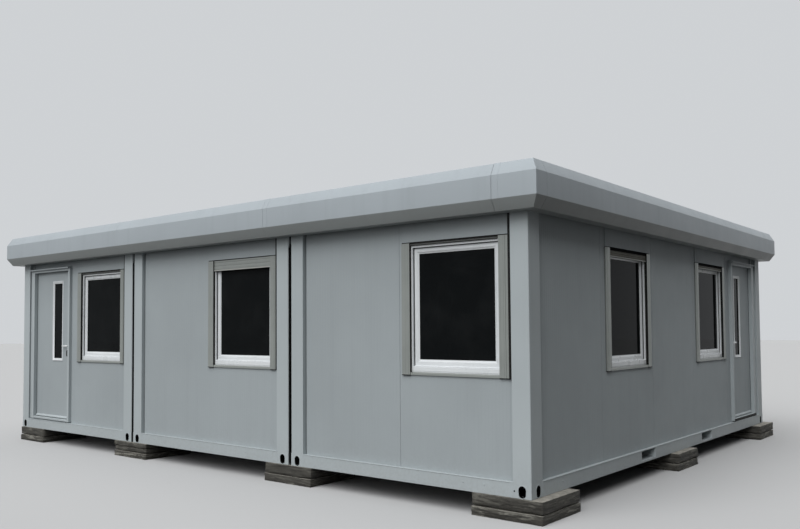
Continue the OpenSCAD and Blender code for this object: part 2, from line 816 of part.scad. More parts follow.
base_frame_a();
base_frame_b();
base_frame_c();
floor_decks();
front_posts();
back_posts();
roof_corner_blocks();
roof_end_rails();
roof_side_rails();
roof_decks();
ceilings();
module_seals();
front_wall_a();
front_wall_over_door();
front_wall_b();
front_wall_c();
right_wall();
right_wall_over_door();
back_walls();
left_wall();
fascia_front();
fascia_right();
fascia_back();
fascia_left();
fascia_corners();
window_frames();
window_glass();
shutter_guides();
shutter_boxes();
shutter_slats();
front_door_frame();
front_door_leaf();
front_door_slot_frame();
front_door_glass();
front_door_handle();
front_door_hinges();
side_door_frame();
side_door_leaf();
side_door_slot_frame();
side_door_glass();
side_door_handle();
side_door_hinges();
front_blocks();
middle_blocks();
back_blocks();
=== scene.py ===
from itertools import product
from math import ceil, cos, pi, radians, sin, tan

import bmesh
import bpy
from mathutils import Matrix, Vector, noise


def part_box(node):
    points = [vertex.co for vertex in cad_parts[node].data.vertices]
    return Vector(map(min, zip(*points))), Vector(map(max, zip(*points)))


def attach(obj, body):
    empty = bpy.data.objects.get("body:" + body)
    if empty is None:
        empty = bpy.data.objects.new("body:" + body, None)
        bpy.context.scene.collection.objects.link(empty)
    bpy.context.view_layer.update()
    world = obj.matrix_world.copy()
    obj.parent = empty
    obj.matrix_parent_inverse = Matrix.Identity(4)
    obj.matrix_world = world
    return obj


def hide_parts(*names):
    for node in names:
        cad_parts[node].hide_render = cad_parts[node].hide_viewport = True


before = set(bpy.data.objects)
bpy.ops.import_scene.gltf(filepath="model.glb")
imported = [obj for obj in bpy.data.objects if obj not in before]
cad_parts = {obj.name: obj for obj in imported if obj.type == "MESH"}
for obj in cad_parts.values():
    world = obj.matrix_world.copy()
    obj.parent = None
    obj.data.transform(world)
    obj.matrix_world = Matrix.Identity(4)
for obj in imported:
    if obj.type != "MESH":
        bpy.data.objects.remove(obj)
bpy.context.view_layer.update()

# Looks of the portable site cabin. Metres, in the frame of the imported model: +X along the front, +Z up.

# MEASURES
# The base frames give the cabin's own origin: its left front corner, at the underside of the base frame.

base_low, base_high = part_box("base_frame_a")
X0, X1 = base_low.x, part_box("base_frame_c")[1].x
Y0, Y1 = base_low.y, base_high.y
LIFT = base_low.z
MOD_W = base_high.x - base_low.x
MOD_L = base_high.y - base_low.y
TOTAL_W = X1 - X0
GAP = (TOTAL_W - 3 * MOD_W) / 2
MOD_X = [i * (MOD_W + GAP) for i in range(3)]
RAIL_H = base_high.z - LIFT
HEAD_Z, ROOF_Z = (corner.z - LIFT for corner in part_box("roof_corner_blocks"))

# Posts, walls and their joints
POST_X, POST_Y = 0.160, 0.178
WALL_BACK, WALL_INNER = 0.038, 0.098
GROOVE = 0.012
GROOVE_BACK = WALL_BACK + 0.030
SEAM = 0.004
SIDE_PITCH = 1.221
SIDE_SEAMS = [POST_Y + 1.201 + k * SIDE_PITCH for k in range(4)]
END_SEAM = 1.312
RIB_PITCH, RIB = 0.0333, 0.0022

# Windows and their shutters
WIN_W = 1.066
WIN_JOINT = 0.031
WIN_Z0, WIN_Z1 = 0.910, 2.048
GUIDE_W = 0.090
WEB_W = 0.024
GUIDE_FACE = WALL_BACK - 0.018
HOLE_HALF = WIN_W / 2 - GUIDE_W + WEB_W
HOLE_Z0, HOLE_Z1 = WIN_Z0 + 0.022, WIN_Z1 + 0.012
BOX_Z0 = WIN_Z1 + 0.008
SEAT_V = 0.0178      # just in front of the wall's face, counted from the guides' face
GLASS_Z0, GLASS_Z1 = 1.046, 1.955
FRAME_BACK, FRAME_D = 0.028, 0.048
SASH_STEP = 0.022
SASH_HALF = HOLE_HALF - WEB_W - 0.014
SASH_W, SASH_FOOT = 0.052, 0.060
SIDE_WINS = [SIDE_SEAMS[k] + SIDE_PITCH / 2 + 0.020 for k in (0, 2)]
END_WIN = MOD_W - POST_X - WIN_JOINT - WIN_W / 2
ROLLED_UP = 0.022

# Doors: x from the hinge side's outer edge
JAMB, LOCK_JAMB = 0.062, 0.022
LEAF_GAP, LIP = 0.008, 0.010
LEAF_W = 0.885
LEAF_Z0, LEAF_Z1 = 0.166, 2.108
LEAF_BACK, LEAF_INNER = 0.050, 0.090
LEAF_FACES = ((LEAF_BACK, -1), (LEAF_INNER, 1))
DOOR_W = JAMB + LEAF_W + 2 * LEAF_GAP + LOCK_JAMB
DOOR_TOP = LEAF_Z1 + LEAF_GAP + 0.018
LEAF_X = (JAMB + LEAF_GAP, JAMB + LEAF_GAP + LEAF_W)
OPEN_X = (LEAF_X[0] + LIP, LEAF_X[1] - LIP)
SLOT_MID, SLOT_HALF = LEAF_X[0] + 0.550, 0.130
SLOT_Z = (0.916, 1.972)
SLOT_REBATE = 0.014
FRONT_DOOR_U, SIDE_DOOR_U = 0.205, 5.190

# Fascia: its fold line as (out, z) points
FASCIA_OUT, FASCIA_FLANGE, FASCIA_T = 0.171, 0.060, 0.003
FASCIA_LINE = [(-FASCIA_FLANGE, ROOF_Z + FASCIA_T), (0.119, ROOF_Z + FASCIA_T), (FASCIA_OUT, 2.494),
               (FASCIA_OUT, 2.308), (0.113, 2.215), (0.0, 2.215)]
CORNER_LONG = 0.222


class Facade:
    """One side of the cabin: u to the right as seen from outside, v inwards, z up from the base frame."""

    def __init__(self, corner, along, inwards):
        self.corner, self.along, self.inwards = Vector(corner), Vector(along), Vector(inwards)

    def __call__(self, u, v, z):
        return self.corner + self.along * u + self.inwards * v + Vector((0, 0, z))


FRONT = Facade((X0, Y0, LIFT), (1, 0, 0), (0, 1, 0))
RIGHT = Facade((X1, Y0, LIFT), (0, 1, 0), (-1, 0, 0))
BACK = Facade((X1, Y1, LIFT), (-1, 0, 0), (0, -1, 0))
LEFT = Facade((X0, Y1, LIFT), (0, -1, 0), (1, 0, 0))

# Each window: its side of the cabin, with depths counted from the face of its guides, its middle along that side,
# how far its shutter is down, and whether its slats are darkened with painted shade under a near-black strip of
# painted shade, as on the right side
WINDOWS = [
    (Facade(side(0, GUIDE_FACE, 0), side.along, side.inwards), mid, low, shade_painted)
    for side, mid, low, shade_painted in (
        [(FRONT, x + END_WIN, low, False) for x, low in zip(MOD_X, (ROLLED_UP, 0.112, ROLLED_UP))]
        + [(RIGHT, u, low, True) for u, low in zip(SIDE_WINS, (0.084, 0.060))]
        + [(BACK, x + END_WIN, ROLLED_UP, False) for x in MOD_X]
        + [(LEFT, u, ROLLED_UP, False) for u in SIDE_WINS])
]

DOORS = {
    "front": lambda x, v, z: FRONT(FRONT_DOOR_U + x, v, z),
    "side": lambda x, v, z: RIGHT(SIDE_DOOR_U + DOOR_W - x, v, z),
}

# SHAPES

SQUARE = ((0, 0), (1, 0), (1, 1), (0, 1))


def near(u, v, *mm):
    """Points at offsets from (u, v), in millimetres as a0, b0, a1, b1 and so on."""
    return [(u + a / 1000, v + b / 1000) for a, b in zip(mm[::2], mm[1::2])]


def span(mid, half):
    return mid - half, mid + half


# The section of a shutter guide, from its outer edge and from its face
GUIDE_LINE = near(0, 0, 0, 17.8, 0, 5, 0.8, 4, 29, 4, 29.6, 1.2, 31, 0.2, 42, 0.2, 42.8, 1.6, 44.6, 1.6, 45.4, 0.2,
                  71.5, 0.2, 72.3, 1.6, 74.1, 1.6, 74.9, 0.2, 88.5, 0.2, 90, 1.6, 90, 12, 74, 12, 74, 26, 90, 26,
                  90, 27.8, 66, 27.8, 66, 17.8)


class Shape:
    """Points and faces of one piece, in the model's frame."""

    def __init__(self):
        self.points = []
        self.faces = []

    def add(self, points, faces):
        start = len(self.points)
        self.points += points
        self.faces += [[start + k for k in face] for face in faces]

    def sweep(self, rings, loop=False, caps=True):
        """Joins rings of the same number of points, one after the other."""
        n = len(rings[0])
        faces = []
        for i in range(len(rings) if loop else len(rings) - 1):
            a, b = i * n, (i + 1) % len(rings) * n
            faces += [[a + k, a + (k + 1) % n, b + (k + 1) % n, b + k] for k in range(n)]
        if caps and not loop:
            last = (len(rings) - 1) * n
            faces += [list(range(n))[::-1], [last + k for k in range(n)]]
        self.add([p for ring in rings for p in ring], faces)

    def box(self, place, u, v, z):
        self.sweep([[place(u[a], v[b], end) for a, b in SQUARE] for end in z])

    def column(self, place, outline, z):
        """An outline of (u, v) points, drawn up from z[0] to z[1]."""
        self.sweep([[place(u, v, end) for u, v in outline] for end in z])

    def pierced(self, place, u, v, z, hole_u, hole_z):
        """A plate with one square hole through it."""
        sections = ((u, z, v[0]), (u, z, v[1]), (hole_u, hole_z, v[1]), (hole_u, hole_z, v[0]))
        self.sweep([[place(x[a], y, h[b]) for a, b in SQUARE] for x, h, y in sections], loop=True)

    def prism(self, place, outline, u):
        """An outline of (v, z) points, drawn out from u[0] to u[1]."""
        self.sweep([[place(end, v, z) for v, z in outline] for end in u])

    def frame(self, place, mid, half_w, z, profile, foot=1.0):
        """A mitred frame: each (inset, v) point of the profile goes round the rectangle, foot times as high below."""
        rings = []
        for a, b in SQUARE:
            su, sz = 2 * a - 1, 1.0 if b else -foot
            rings.append([place(mid + su * (half_w - i), v, z[b] - sz * i) for i, v in profile])
        self.sweep(rings, loop=True)

    def rod(self, start, end, radius, sides, tip=None):
        """A round rod; tip is a smaller radius that its end is rounded off to."""
        length = (end - start).length
        axis = (end - start).normalized()
        side = axis.orthogonal().normalized()
        other = axis.cross(side)
        stations = [(0.0, radius), (1.0, radius)]
        if tip is not None:
            round_l = min(radius - tip, length) / length
            stations[1:] = [(1 - round_l + round_l * sin(a), tip + (radius - tip) * cos(a))
                            for a in (k * pi / 8 for k in range(5))]
        turns = [k * 2 * pi / sides for k in range(sides)]
        self.sweep([[start.lerp(end, t) + r * (cos(a) * side + sin(a) * other) for a in turns] for t, r in stations])

    def dome(self, place, u, v, z, radius, rise):
        """A low round head on a face, its top towards the outside."""
        turns = [k * pi / 6 for k in range(12)]
        self.sweep([[place(u + r * radius * cos(a), v - out * rise, z + r * radius * sin(a)) for a in turns]
                    for r, out in ((1.0, 0.0), (0.92, 0.45), (0.62, 0.85), (0.2, 1.0))])


def round_edges(item, width, degrees):
    """Rounds every edge that is sharper than the angle."""
    rounding = item.modifiers.new("edges", "BEVEL")
    rounding.width = width
    rounding.segments = 2
    rounding.limit_method = "ANGLE"
    rounding.angle_limit = radians(degrees)
    rounding.use_clamp_overlap = True


def add_object(name, data):
    item = bpy.data.objects.new(name, data)
    bpy.context.scene.collection.objects.link(item)
    return item


def piece(name, shape, material, body="cabin", instead=None, bevel=0.0, smooth=None):
    """Makes the object, hangs it on its body, and hides the node that instead names."""
    mesh = bpy.data.meshes.new(name)
    mesh.from_pydata(shape.points, [], shape.faces)
    mesh.validate()
    bm = bmesh.new()
    bm.from_mesh(mesh)
    bmesh.ops.recalc_face_normals(bm, faces=bm.faces)
    bm.to_mesh(mesh)
    bm.free()
    mesh.materials.append(material)
    item = add_object(name, mesh)
    if bevel:
        round_edges(item, bevel, 40)
    if smooth:
        mesh.shade_smooth()
        mesh.set_sharp_from_angle(angle=radians(smooth))
    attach(item, body)
    if instead:
        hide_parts(instead)


# MATERIALS


def add_node(tree, kind, inputs=None, **settings):
    """Adds a shader node. Each input is a value, or a socket that is linked into it."""
    made = tree.nodes.new("ShaderNode" + kind)
    for name, value in settings.items():
        setattr(made, name, value)
    for name, value in (inputs or {}).items():
        if isinstance(value, bpy.types.NodeSocket):
            tree.links.new(value, made.inputs[name])
        else:
            made.inputs[name].default_value = value
    return made


class Finish:
    """A node material under construction."""

    def __init__(self, name):
        self.material = bpy.data.materials.new(name)
        self.material.use_nodes = True
        self.tree = self.material.node_tree
        self.tree.nodes.clear()
        self.shader = self.node("BsdfPrincipled")
        self.node("OutputMaterial", {0: self.shader.outputs[0]})
        self.where = self.node("TexCoord").outputs["Object"]

    def set(self, **values):
        for name, value in values.items():
            self.shader.inputs[name.replace("_", " ")].default_value = value

    def node(self, kind, inputs=None, **settings):
        return add_node(self.tree, kind, inputs, **settings)

    def noise(self, scale, detail=4.0, rough=0.5, stretch=(1, 1, 1)):
        """Noise over the object's own place; scale is in features a metre."""
        place = self.node("Mapping", {"Vector": self.where, "Scale": stretch}).outputs[0]
        made = self.node("TexNoise", {"Vector": place, "Scale": scale, "Detail": detail, "Roughness": rough})
        return made.outputs["Fac"]

    def ramp(self, value, low, high, out_low=0.0, out_high=1.0):
        inputs = {"Value": value, "From Min": low, "From Max": high, "To Min": out_low, "To Max": out_high}
        return self.node("MapRange", inputs).outputs[0]

    def clouds(self, grain, low, high, out_low=0.0, out_high=1.0):
        """A ramp of noise; grain is what noise takes."""
        return self.ramp(self.noise(*grain), low, high, out_low, out_high)

    def height(self, low, high, out_low, out_high):
        """A value that runs with height over the ground."""
        z = self.node("SeparateXYZ", {"Vector": self.where}).outputs["Z"]
        return self.ramp(z, low, high, out_low, out_high)

    def times(self, a, b):
        return self.node("Math", {0: a, 1: b}, operation="MULTIPLY").outputs[0]

    def mix(self, factor, a, b):
        a, b = (color if isinstance(color, bpy.types.NodeSocket) else (*color, 1.0) for color in (a, b))
        return self.node("Mix", {"Factor": factor, 6: a, 7: b}, data_type="RGBA").outputs[2]

    def into(self, name, socket):
        self.tree.links.new(socket, self.shader.inputs[name])

    def bump(self, *layers):
        """Layers of (grain, strength, distance in metres), laid over one another."""
        last = None
        for grain, strength, distance in layers:
            inputs = {"Height": self.noise(*grain), "Strength": strength, "Distance": distance}
            if last is not None:
                inputs["Normal"] = last
            last = self.node("Bump", inputs).outputs[0]
        self.into("Normal", last)


def plain_finish(name, one, other, clouds, rough, bump=None, over=None, **settings):
    """One colour clouded with another, with uneven gloss and fine bumps. over is a third colour and its clouds."""
    f = Finish(name)
    base = f.mix(f.clouds(*clouds), one, other)
    if over:
        base = f.mix(f.clouds(*over[1:]), base, over[0])
    f.into("Base Color", base)
    f.into("Roughness", f.clouds(*rough))
    f.set(**settings)
    if bump:
        f.bump(bump)
    return f.material


def sheet_paint(name, color, rough, wave, dirt=0.10, splash=0.16, gloss=0.09, underside_shade=0.0):
    """Light grey coating on steel: faint clouding, rain streaks, road dirt near the ground, and painted shade
    darkening the fascia's lower slope, which faces down.
    """
    f = Finish(name)
    base = f.mix(f.clouds((0.9, 3, 0.55), 0.36, 0.66), [c * 0.93 for c in color], color)
    streaks = f.clouds((9.0, 3, 0.6, (1, 1, 0.05)), 0.52, 0.78)
    base = f.mix(f.times(streaks, dirt), base, [c * 0.62 for c in color])
    low = f.height(LIFT, LIFT + 0.32, 1.0, 0.0)
    spots = f.clouds((34.0, 5, 0.7), 0.42, 0.70)
    base = f.mix(f.times(f.times(low, spots), splash), base, (0.17, 0.155, 0.13))
    if underside_shade:
        # Painted shade: below the fold at 2.304 m the fascia's downward lower slope is darkened towards a brownish
        # grey
        painted_underside_shade = f.height(LIFT + 2.304, LIFT + 2.312, underside_shade, 0.0)
        base = f.mix(painted_underside_shade, base, (0.200, 0.192, 0.140))
    f.into("Base Color", base)
    f.into("Roughness", f.clouds((5.0, 4, 0.6), 0.35, 0.65, *rough))
    f.set(IOR=1.45, Specular_IOR_Level=gloss)
    f.bump(((1.3, 2, 0.4), 0.35, wave), ((420.0, 2, 0.5), 0.10, 0.0003))
    return f.material


def weathered_concrete():
    """Paving slabs: grey-brown and pitted, with damp patches, moss, pale and dark layers, and a clouded pale wash of
    painted light on faces that look up.
    """
    f = Finish("weathered_concrete")
    base = f.mix(f.clouds((4.0, 6, 0.65), 0.35, 0.66), (0.024, 0.023, 0.020), (0.052, 0.050, 0.043))
    grit = f.times(f.clouds((180.0, 4, 0.7), 0.40, 0.66), 0.40)
    damp = f.clouds((7.0, 5, 0.6, (1, 1, 2.5)), 0.50, 0.68, 0.0, 0.7)
    moss = f.clouds((11.0, 6, 0.75), 0.60, 0.74, 0.0, 0.45)
    layers = f.clouds((3.2, 6, 0.8, (1, 1, 10)), 0.50, 0.57)
    worn = f.clouds((2.3, 4, 0.7), 0.40, 0.58, 0.25, 1.0)
    pale = f.times(f.times(layers, worn), f.height(0.070, 0.082, 1.0, 0.45))
    dark = f.clouds((4.1, 5, 0.7, (1, 1, 10)), 0.53, 0.60, 0.0, 0.80)
    # Painted light: faces that look up are made paler, as the light from above falls on them
    up = f.node("SeparateXYZ", {"Vector": f.node("NewGeometry").outputs["Normal"]}).outputs["Z"]
    painted_top_light = f.times(f.ramp(up, 0.60, 0.90), f.clouds((16.0, 5, 0.7), 0.34, 0.58, 0.45, 1.0))
    for amount, color in ((grit, (0.090, 0.086, 0.075)), (damp, (0.028, 0.026, 0.022)), (moss, (0.045, 0.050, 0.024)),
                          (pale, (0.235, 0.230, 0.202)), (dark, (0.014, 0.013, 0.011)),
                          (painted_top_light, (0.270, 0.258, 0.228))):
        base = f.mix(amount, base, color)
    f.into("Base Color", base)
    f.into("Roughness", f.ramp(damp, 0.0, 0.7, 0.92, 0.74))
    f.bump(((28.0, 6, 0.7), 0.8, 0.006), ((240.0, 4, 0.7), 0.6, 0.0012))
    return f.material


def speckled_vinyl():
    f = Finish("speckled_vinyl")
    cells = f.node("TexVoronoi", {"Vector": f.where, "Scale": 260.0}).outputs["Color"]
    grains = f.ramp(f.node("SeparateColor", {"Color": cells}).outputs[0], 0.2, 0.8)
    base = f.mix(grains, (0.20, 0.21, 0.215), (0.31, 0.32, 0.325))
    f.into("Base Color", f.mix(f.clouds((1.2, 4), 0.45, 0.75, 0.0, 0.3), base, (0.16, 0.15, 0.14)))
    f.into("Roughness", f.clouds((7.0,), 0.35, 0.65, 0.38, 0.55))
    f.bump(((150.0, 2, 0.5), 0.1, 0.0004))
    return f.material


paint_frame = sheet_paint("frame_paint", (0.400, 0.442, 0.458), (0.30, 0.42), 0.0006)
paint_panel = sheet_paint("panel_paint", (0.334, 0.370, 0.386), (0.42, 0.54), 0.0014)
# The fascia's paint carries painted shade on its lower slope
paint_fascia = sheet_paint("fascia_paint", (0.366, 0.406, 0.434), (0.30, 0.42), 0.0020, 0.16, gloss=0.16, underside_shade=0.34)
paint_roof = sheet_paint("roof_paint", (0.36, 0.375, 0.375), (0.45, 0.60), 0.0020, dirt=0.30)
paint_lining = sheet_paint("ceiling_lining", (0.72, 0.73, 0.73), (0.50, 0.60), 0.0010, dirt=0.03)
# Painted shade: a dark brown slat paint that stands in for the deep shade the right side's curtains hang in
shaded_slat_paint = sheet_paint("painted_shade_slats", (0.120, 0.118, 0.100), (0.50, 0.60), 0.0003, dirt=0.40, splash=0.0)
pale_bar = sheet_paint("pale_end_bar", (0.42, 0.43, 0.41), (0.32, 0.44), 0.0003, dirt=0.05, splash=0.0)
# Painted shade: a dark copy of the end bar's paint, for the bars of rolled-up curtains tucked under the box covers
shaded_bar_paint = sheet_paint("painted_shade_end_bar", (0.105, 0.110, 0.106), (0.40, 0.52), 0.0003, dirt=0.05, splash=0.0)
concrete = weathered_concrete()
vinyl = speckled_vinyl()
plastic = plain_finish(
    "window_plastic", (0.625, 0.655, 0.672), (0.672, 0.700, 0.718), ((2.5,), 0.35, 0.65),
    ((8.0,), 0.35, 0.65, 0.26, 0.36), ((160.0, 2, 0.5), 0.06, 0.0003),
    over=((0.45, 0.45, 0.42), (6.0, 3, 0.5, (1, 1, 0.2)), 0.45, 0.80, 0.0, 0.10))
# Tinted double glazing: dark and smooth, with a faint film of dust
glass = plain_finish(
    "dark_glass", (0.0055, 0.0065, 0.0070), (0.25, 0.26, 0.26), ((3.5, 5, 0.65), 0.45, 0.80, 0.0, 0.020),
    ((6.0, 4, 0.6), 0.40, 0.75, 0.015, 0.06), ((1.6, 2, 0.4), 0.25, 0.0009), IOR=1.10, Alpha=0.95)
aluminium = plain_finish(
    "coated_aluminium", (0.240, 0.258, 0.246), (0.270, 0.288, 0.275), ((3.0,), 0.35, 0.65),
    ((14.0,), 0.35, 0.65, 0.36, 0.46), ((240.0, 2, 0.5, (1, 1, 0.03)), 0.10, 0.0003), Metallic=0.25,
    over=((0.33, 0.34, 0.33), (60.0, 4, 0.6, (1, 1, 0.06)), 0.60, 0.82, 0.0, 0.25))
steel = plain_finish(
    "brushed_steel", (0.66, 0.67, 0.67), (0.76, 0.77, 0.77), ((30.0,), 0.35, 0.65),
    ((160.0, 3, 0.6, (0.05, 0.05, 1)), 0.3, 0.7, 0.30, 0.46), ((900.0, 2, 0.5, (0.04, 0.04, 1)), 0.12, 0.0002),
    Metallic=0.7)
rubber = plain_finish(
    "black_rubber", (0.006, 0.006, 0.006), (0.016, 0.016, 0.015), ((50.0,), 0.4, 0.7),
    ((30.0,), 0.35, 0.65, 0.60, 0.80), ((260.0, 3, 0.6), 0.2, 0.0004), Specular_IOR_Level=0.15)
# Matt near black that paints shade: at the bottoms of joints, inside hollow castings and lashing holes, and over the
# right side's slats
shade_black = plain_finish(
    "deep_shade", (0.0015, 0.0016, 0.0017), (0.0040, 0.0040, 0.0040), ((40.0,), 0.4, 0.7),
    ((30.0,), 0.35, 0.65, 0.85, 0.95), Specular_IOR_Level=0.02)

# Each node's finish is the first with one of its words in the node's name
FINISHES = (
    (steel, "handle hinges"), (glass, "glass"), (plastic, "window_frames slot_frame"), (aluminium, "guides slats"),
    (rubber, "seals"), (vinyl, "floor_decks"), (paint_lining, "ceilings"), (paint_roof, "roof_decks"),
    (paint_fascia, "fascia"), (paint_panel, "wall boxes leaf"), (paint_frame, "base_frame posts roof door_frame"),
    (concrete, "blocks"),
)
for name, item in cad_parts.items():
    found = next(material for material, words in FINISHES if any(word in name for word in words.split()))
    item.data.materials.clear()
    item.data.materials.append(found)

# WALL SKINS


def wall_fields(lo, hi, holes, seams):
    """Cuts a wall from lo to hi into fields (u0, u1, top) beside and under its holes (u0, u1, sill)."""
    fields = []
    cuts = sorted([lo, hi] + [s + side * SEAM / 2 for s in seams for side in (-1, 1)])
    for u0, u1 in zip(cuts[0::2], cuts[1::2]):
        at = u0
        for a, b, sill in sorted(h for h in holes if h[0] < u1 and h[1] > u0):
            if a > at:
                fields.append((at, a, HEAD_Z))
            if sill > RAIL_H:
                fields.append((max(a, at), b, sill))
            at = b
        if at < u1:
            fields.append((at, u1, HEAD_Z))
    return fields


def ribbed(u0, u1, back, face, turn, proud, ribs):
    """A sheet's outline from u0 to u1, its edges turned in by (across, inwards), with low ribs at the places given."""
    line = [(u0, back), (u0, face + turn[1]), (u0 + turn[0], face)]
    for at in ribs:
        line += [(at - RIB, face), (at - RIB / 3, face - proud), (at + RIB / 3, face - proud), (at + RIB, face)]
    return line + [(u1 - turn[0], face), (u1, face + turn[1]), (u1, back)]


def wall_skin(name, place, lo, hi, holes, seams):
    """The thin outer sheet of the panels, with fine upright ribs and edges that turn in at each joint."""
    turn = 0.0016
    shape = Shape()
    ribs = [lo + k * RIB_PITCH for k in range(ceil((hi - lo) / RIB_PITCH))]
    for u0, u1, top in wall_fields(lo, hi, holes, seams):
        here = [at for at in ribs if u0 + 2 * turn <= at < u1 - 2 * turn - RIB]
        line = ribbed(u0, u1, WALL_BACK + 0.001, WALL_BACK - 0.0004, (turn, turn / 2), 0.0007, here)
        shape.column(place, line, (RAIL_H + 0.001, top - 0.001))
    piece(f"skin_{name}", shape, paint_panel)


def window_hole(mid, beside=0.0):
    """What a window with its guides, box cover and joint takes out of a wall skin."""
    return mid - WIN_W / 2, mid + WIN_W / 2 + beside, WIN_Z0


def make_skins():
    for x, letter in zip(MOD_X, "abc"):
        for side, place in (("front", FRONT), ("back", BACK)):
            holes = [window_hole(x + END_WIN, WIN_JOINT)]
            if (side, letter) == ("front", "a"):
                holes.append((FRONT_DOOR_U, FRONT_DOOR_U + DOOR_W, RAIL_H))
            seams = [x + END_SEAM] if letter == "c" else []
            wall_skin(f"{side}_{letter}", place, x + POST_X + GROOVE, x + MOD_W - POST_X - GROOVE, holes, seams)
    for side, place in (("right", RIGHT), ("left", LEFT)):
        holes = [window_hole(mid) for mid in SIDE_WINS]
        if side == "right":
            holes.append((SIDE_DOOR_U, SIDE_DOOR_U + DOOR_W, RAIL_H))
        wall_skin(side, place, POST_Y + GROOVE, MOD_L - POST_Y - GROOVE, holes, SIDE_SEAMS)


def make_gap_linings():
    """Near-black seals in the joints between modules, whose deep black also paints the joints' shade, and rubber
    between the end windows and the posts.
    """
    linings, beads = Shape(), Shape()
    slack, narrow = 0.0002, 0.0095
    v, head = (0.0095, 0.0142), HEAD_Z - 0.12
    for facade in (FRONT, BACK):
        for x in MOD_X[1:]:
            u = TOTAL_W - x if facade is BACK else x - GAP
            linings.box(facade, (u + slack, u + GAP - slack), v, (0.012, head))
            linings.box(facade, (u + narrow, u + GAP - narrow), v, (head - 0.001, HEAD_Z + 0.06))
        for x in MOD_X:
            u = x + END_WIN + WIN_W / 2
            bead = near(u, 0, 0.2, 18, 3, 9.5, 8, 7.5) + near(u + WIN_JOINT, 0, -6, 7.5, -0.2, 11)
            bead += near(u + WIN_JOINT, GROOVE_BACK, -0.2, -0.2) + near(u, GROOVE_BACK, 0.2, -0.2)
            beads.column(facade, bead, (WIN_Z0, HEAD_Z))
    piece("gap_linings", linings, shade_black)
    piece("window_joint_beads", beads, rubber, smooth=50)


# FASCIA


def arc_corner(before, corner, after, radius, steps=4):
    """Points that round a corner of a fold line off."""
    a, b, c = (Vector(p) for p in (before, corner, after))
    d0, d1 = (a - b).normalized(), (c - b).normalized()
    reach = radius / tan(d0.angle(d1) / 2)
    start, end = b + d0 * reach, b + d1 * reach
    shares = [k / steps for k in range(steps + 1)]
    return [tuple((1 - t) ** 2 * start + 2 * t * (1 - t) * b + t ** 2 * end) for t in shares]


def fascia_outline(inset, thick=0.0022):
    """The folded sheet as a closed outline of (out, z) points, inset from the model's own fold line."""
    line = [Vector(p) for p in FASCIA_LINE]
    slopes = [(b - a).normalized() for a, b in zip(line, line[1:])]
    sides = []
    for depth in (inset, inset + thick):
        moved = []
        for k, p in enumerate(line):
            beside = slopes[max(k - 1, 0):k + 1]
            n = sum((Vector((d.y, -d.x)) for d in beside), Vector((0, 0)))
            moved.append(p + len(beside) * n / n.length_squared * depth)
        side = [tuple(moved[0]), (0.0, moved[0].y)]
        for k in range(1, len(moved) - 1):
            side += arc_corner(moved[k - 1], moved[k], moved[k + 1], 0.005 + inset)
        sides.append(side + [tuple(moved[-1])])
    return sides[0] + sides[1][::-1]


def fascia_length(shape, place, u0, u1, inset=0.0012, mitre0=False, mitre1=False, waves=True):
    """A length of fascia. A mitred end follows the corner plane, and the sheet is a little uneven."""
    parts = max(2, round((u1 - u0) / 0.35)) if waves else 1
    rings = []
    for k in range(parts + 1):
        t = k / parts
        u = u0 + (u1 - u0) * t
        ring = []
        for out, z in fascia_outline(inset):
            dent = 0.0
            if waves and 0 < k < parts and 2.25 < z < ROOF_Z:
                dent = 0.0010 * max(0.0, noise.noise(place(u * 1.7, 0.0, z * 3.0)))
            ring.append(place(u + out * (t * mitre1 - (1 - t) * mitre0), -out + dent, z))
        rings.append(ring)
    shape.sweep(rings)


def short_flange(place):
    """A facade whose flange is cut on the mitre at its left end, for the first stretch of a long side."""
    return lambda u, v, z: place(max(u, v + 0.0005) if v > 0 else u, v, z)


def outer_only(place):
    """A facade without what lies inwards of the wall line, for the short arm of a corner piece."""
    return lambda u, v, z: place(min(u, -0.0015) if v <= 0 else -0.0015, min(v, 0.0), z)


def make_fascia():
    """The four sides, in front and at the back with a lap behind each joint, and the corner pieces."""
    joint, lap, gap = 0.0015, 0.058, 0.0005
    stops = [TOTAL_W - CORNER_LONG - k * MOD_W for k in (2, 1, 0)]
    corners = Shape()
    for side, place, beside in (("front", FRONT, RIGHT), ("back", BACK, LEFT)):
        shape = Shape()
        fascia_length(shape, place, gap, stops[0] - joint, mitre0=True)
        for a, b in zip(stops, stops[1:]):
            fascia_length(shape, place, a + joint, b - joint)
        for stop in stops:
            fascia_length(shape, place, stop + joint + 0.0005, stop + joint + lap, inset=0.0001, waves=False)
        piece(f"fascia_{side}_sheet", shape, paint_fascia, instead=f"fascia_{side}", smooth=35)
        fascia_length(corners, place, TOTAL_W - CORNER_LONG + joint, TOTAL_W, mitre1=True, waves=False)
        fascia_length(corners, outer_only(beside), 0.0, -joint, mitre0=True, waves=False)
    for side, place in (("right", RIGHT), ("left", LEFT)):
        shape = Shape()
        fascia_length(shape, place, FASCIA_FLANGE + gap, MOD_L - gap, mitre1=True)
        fascia_length(shape, short_flange(place), joint, FASCIA_FLANGE + gap, waves=False)
        piece(f"fascia_{side}_sheet", shape, paint_fascia, instead=f"fascia_{side}", smooth=35)
    piece("fascia_corner_sheets", corners, paint_fascia, instead="fascia_corners", smooth=35)


# WINDOWS


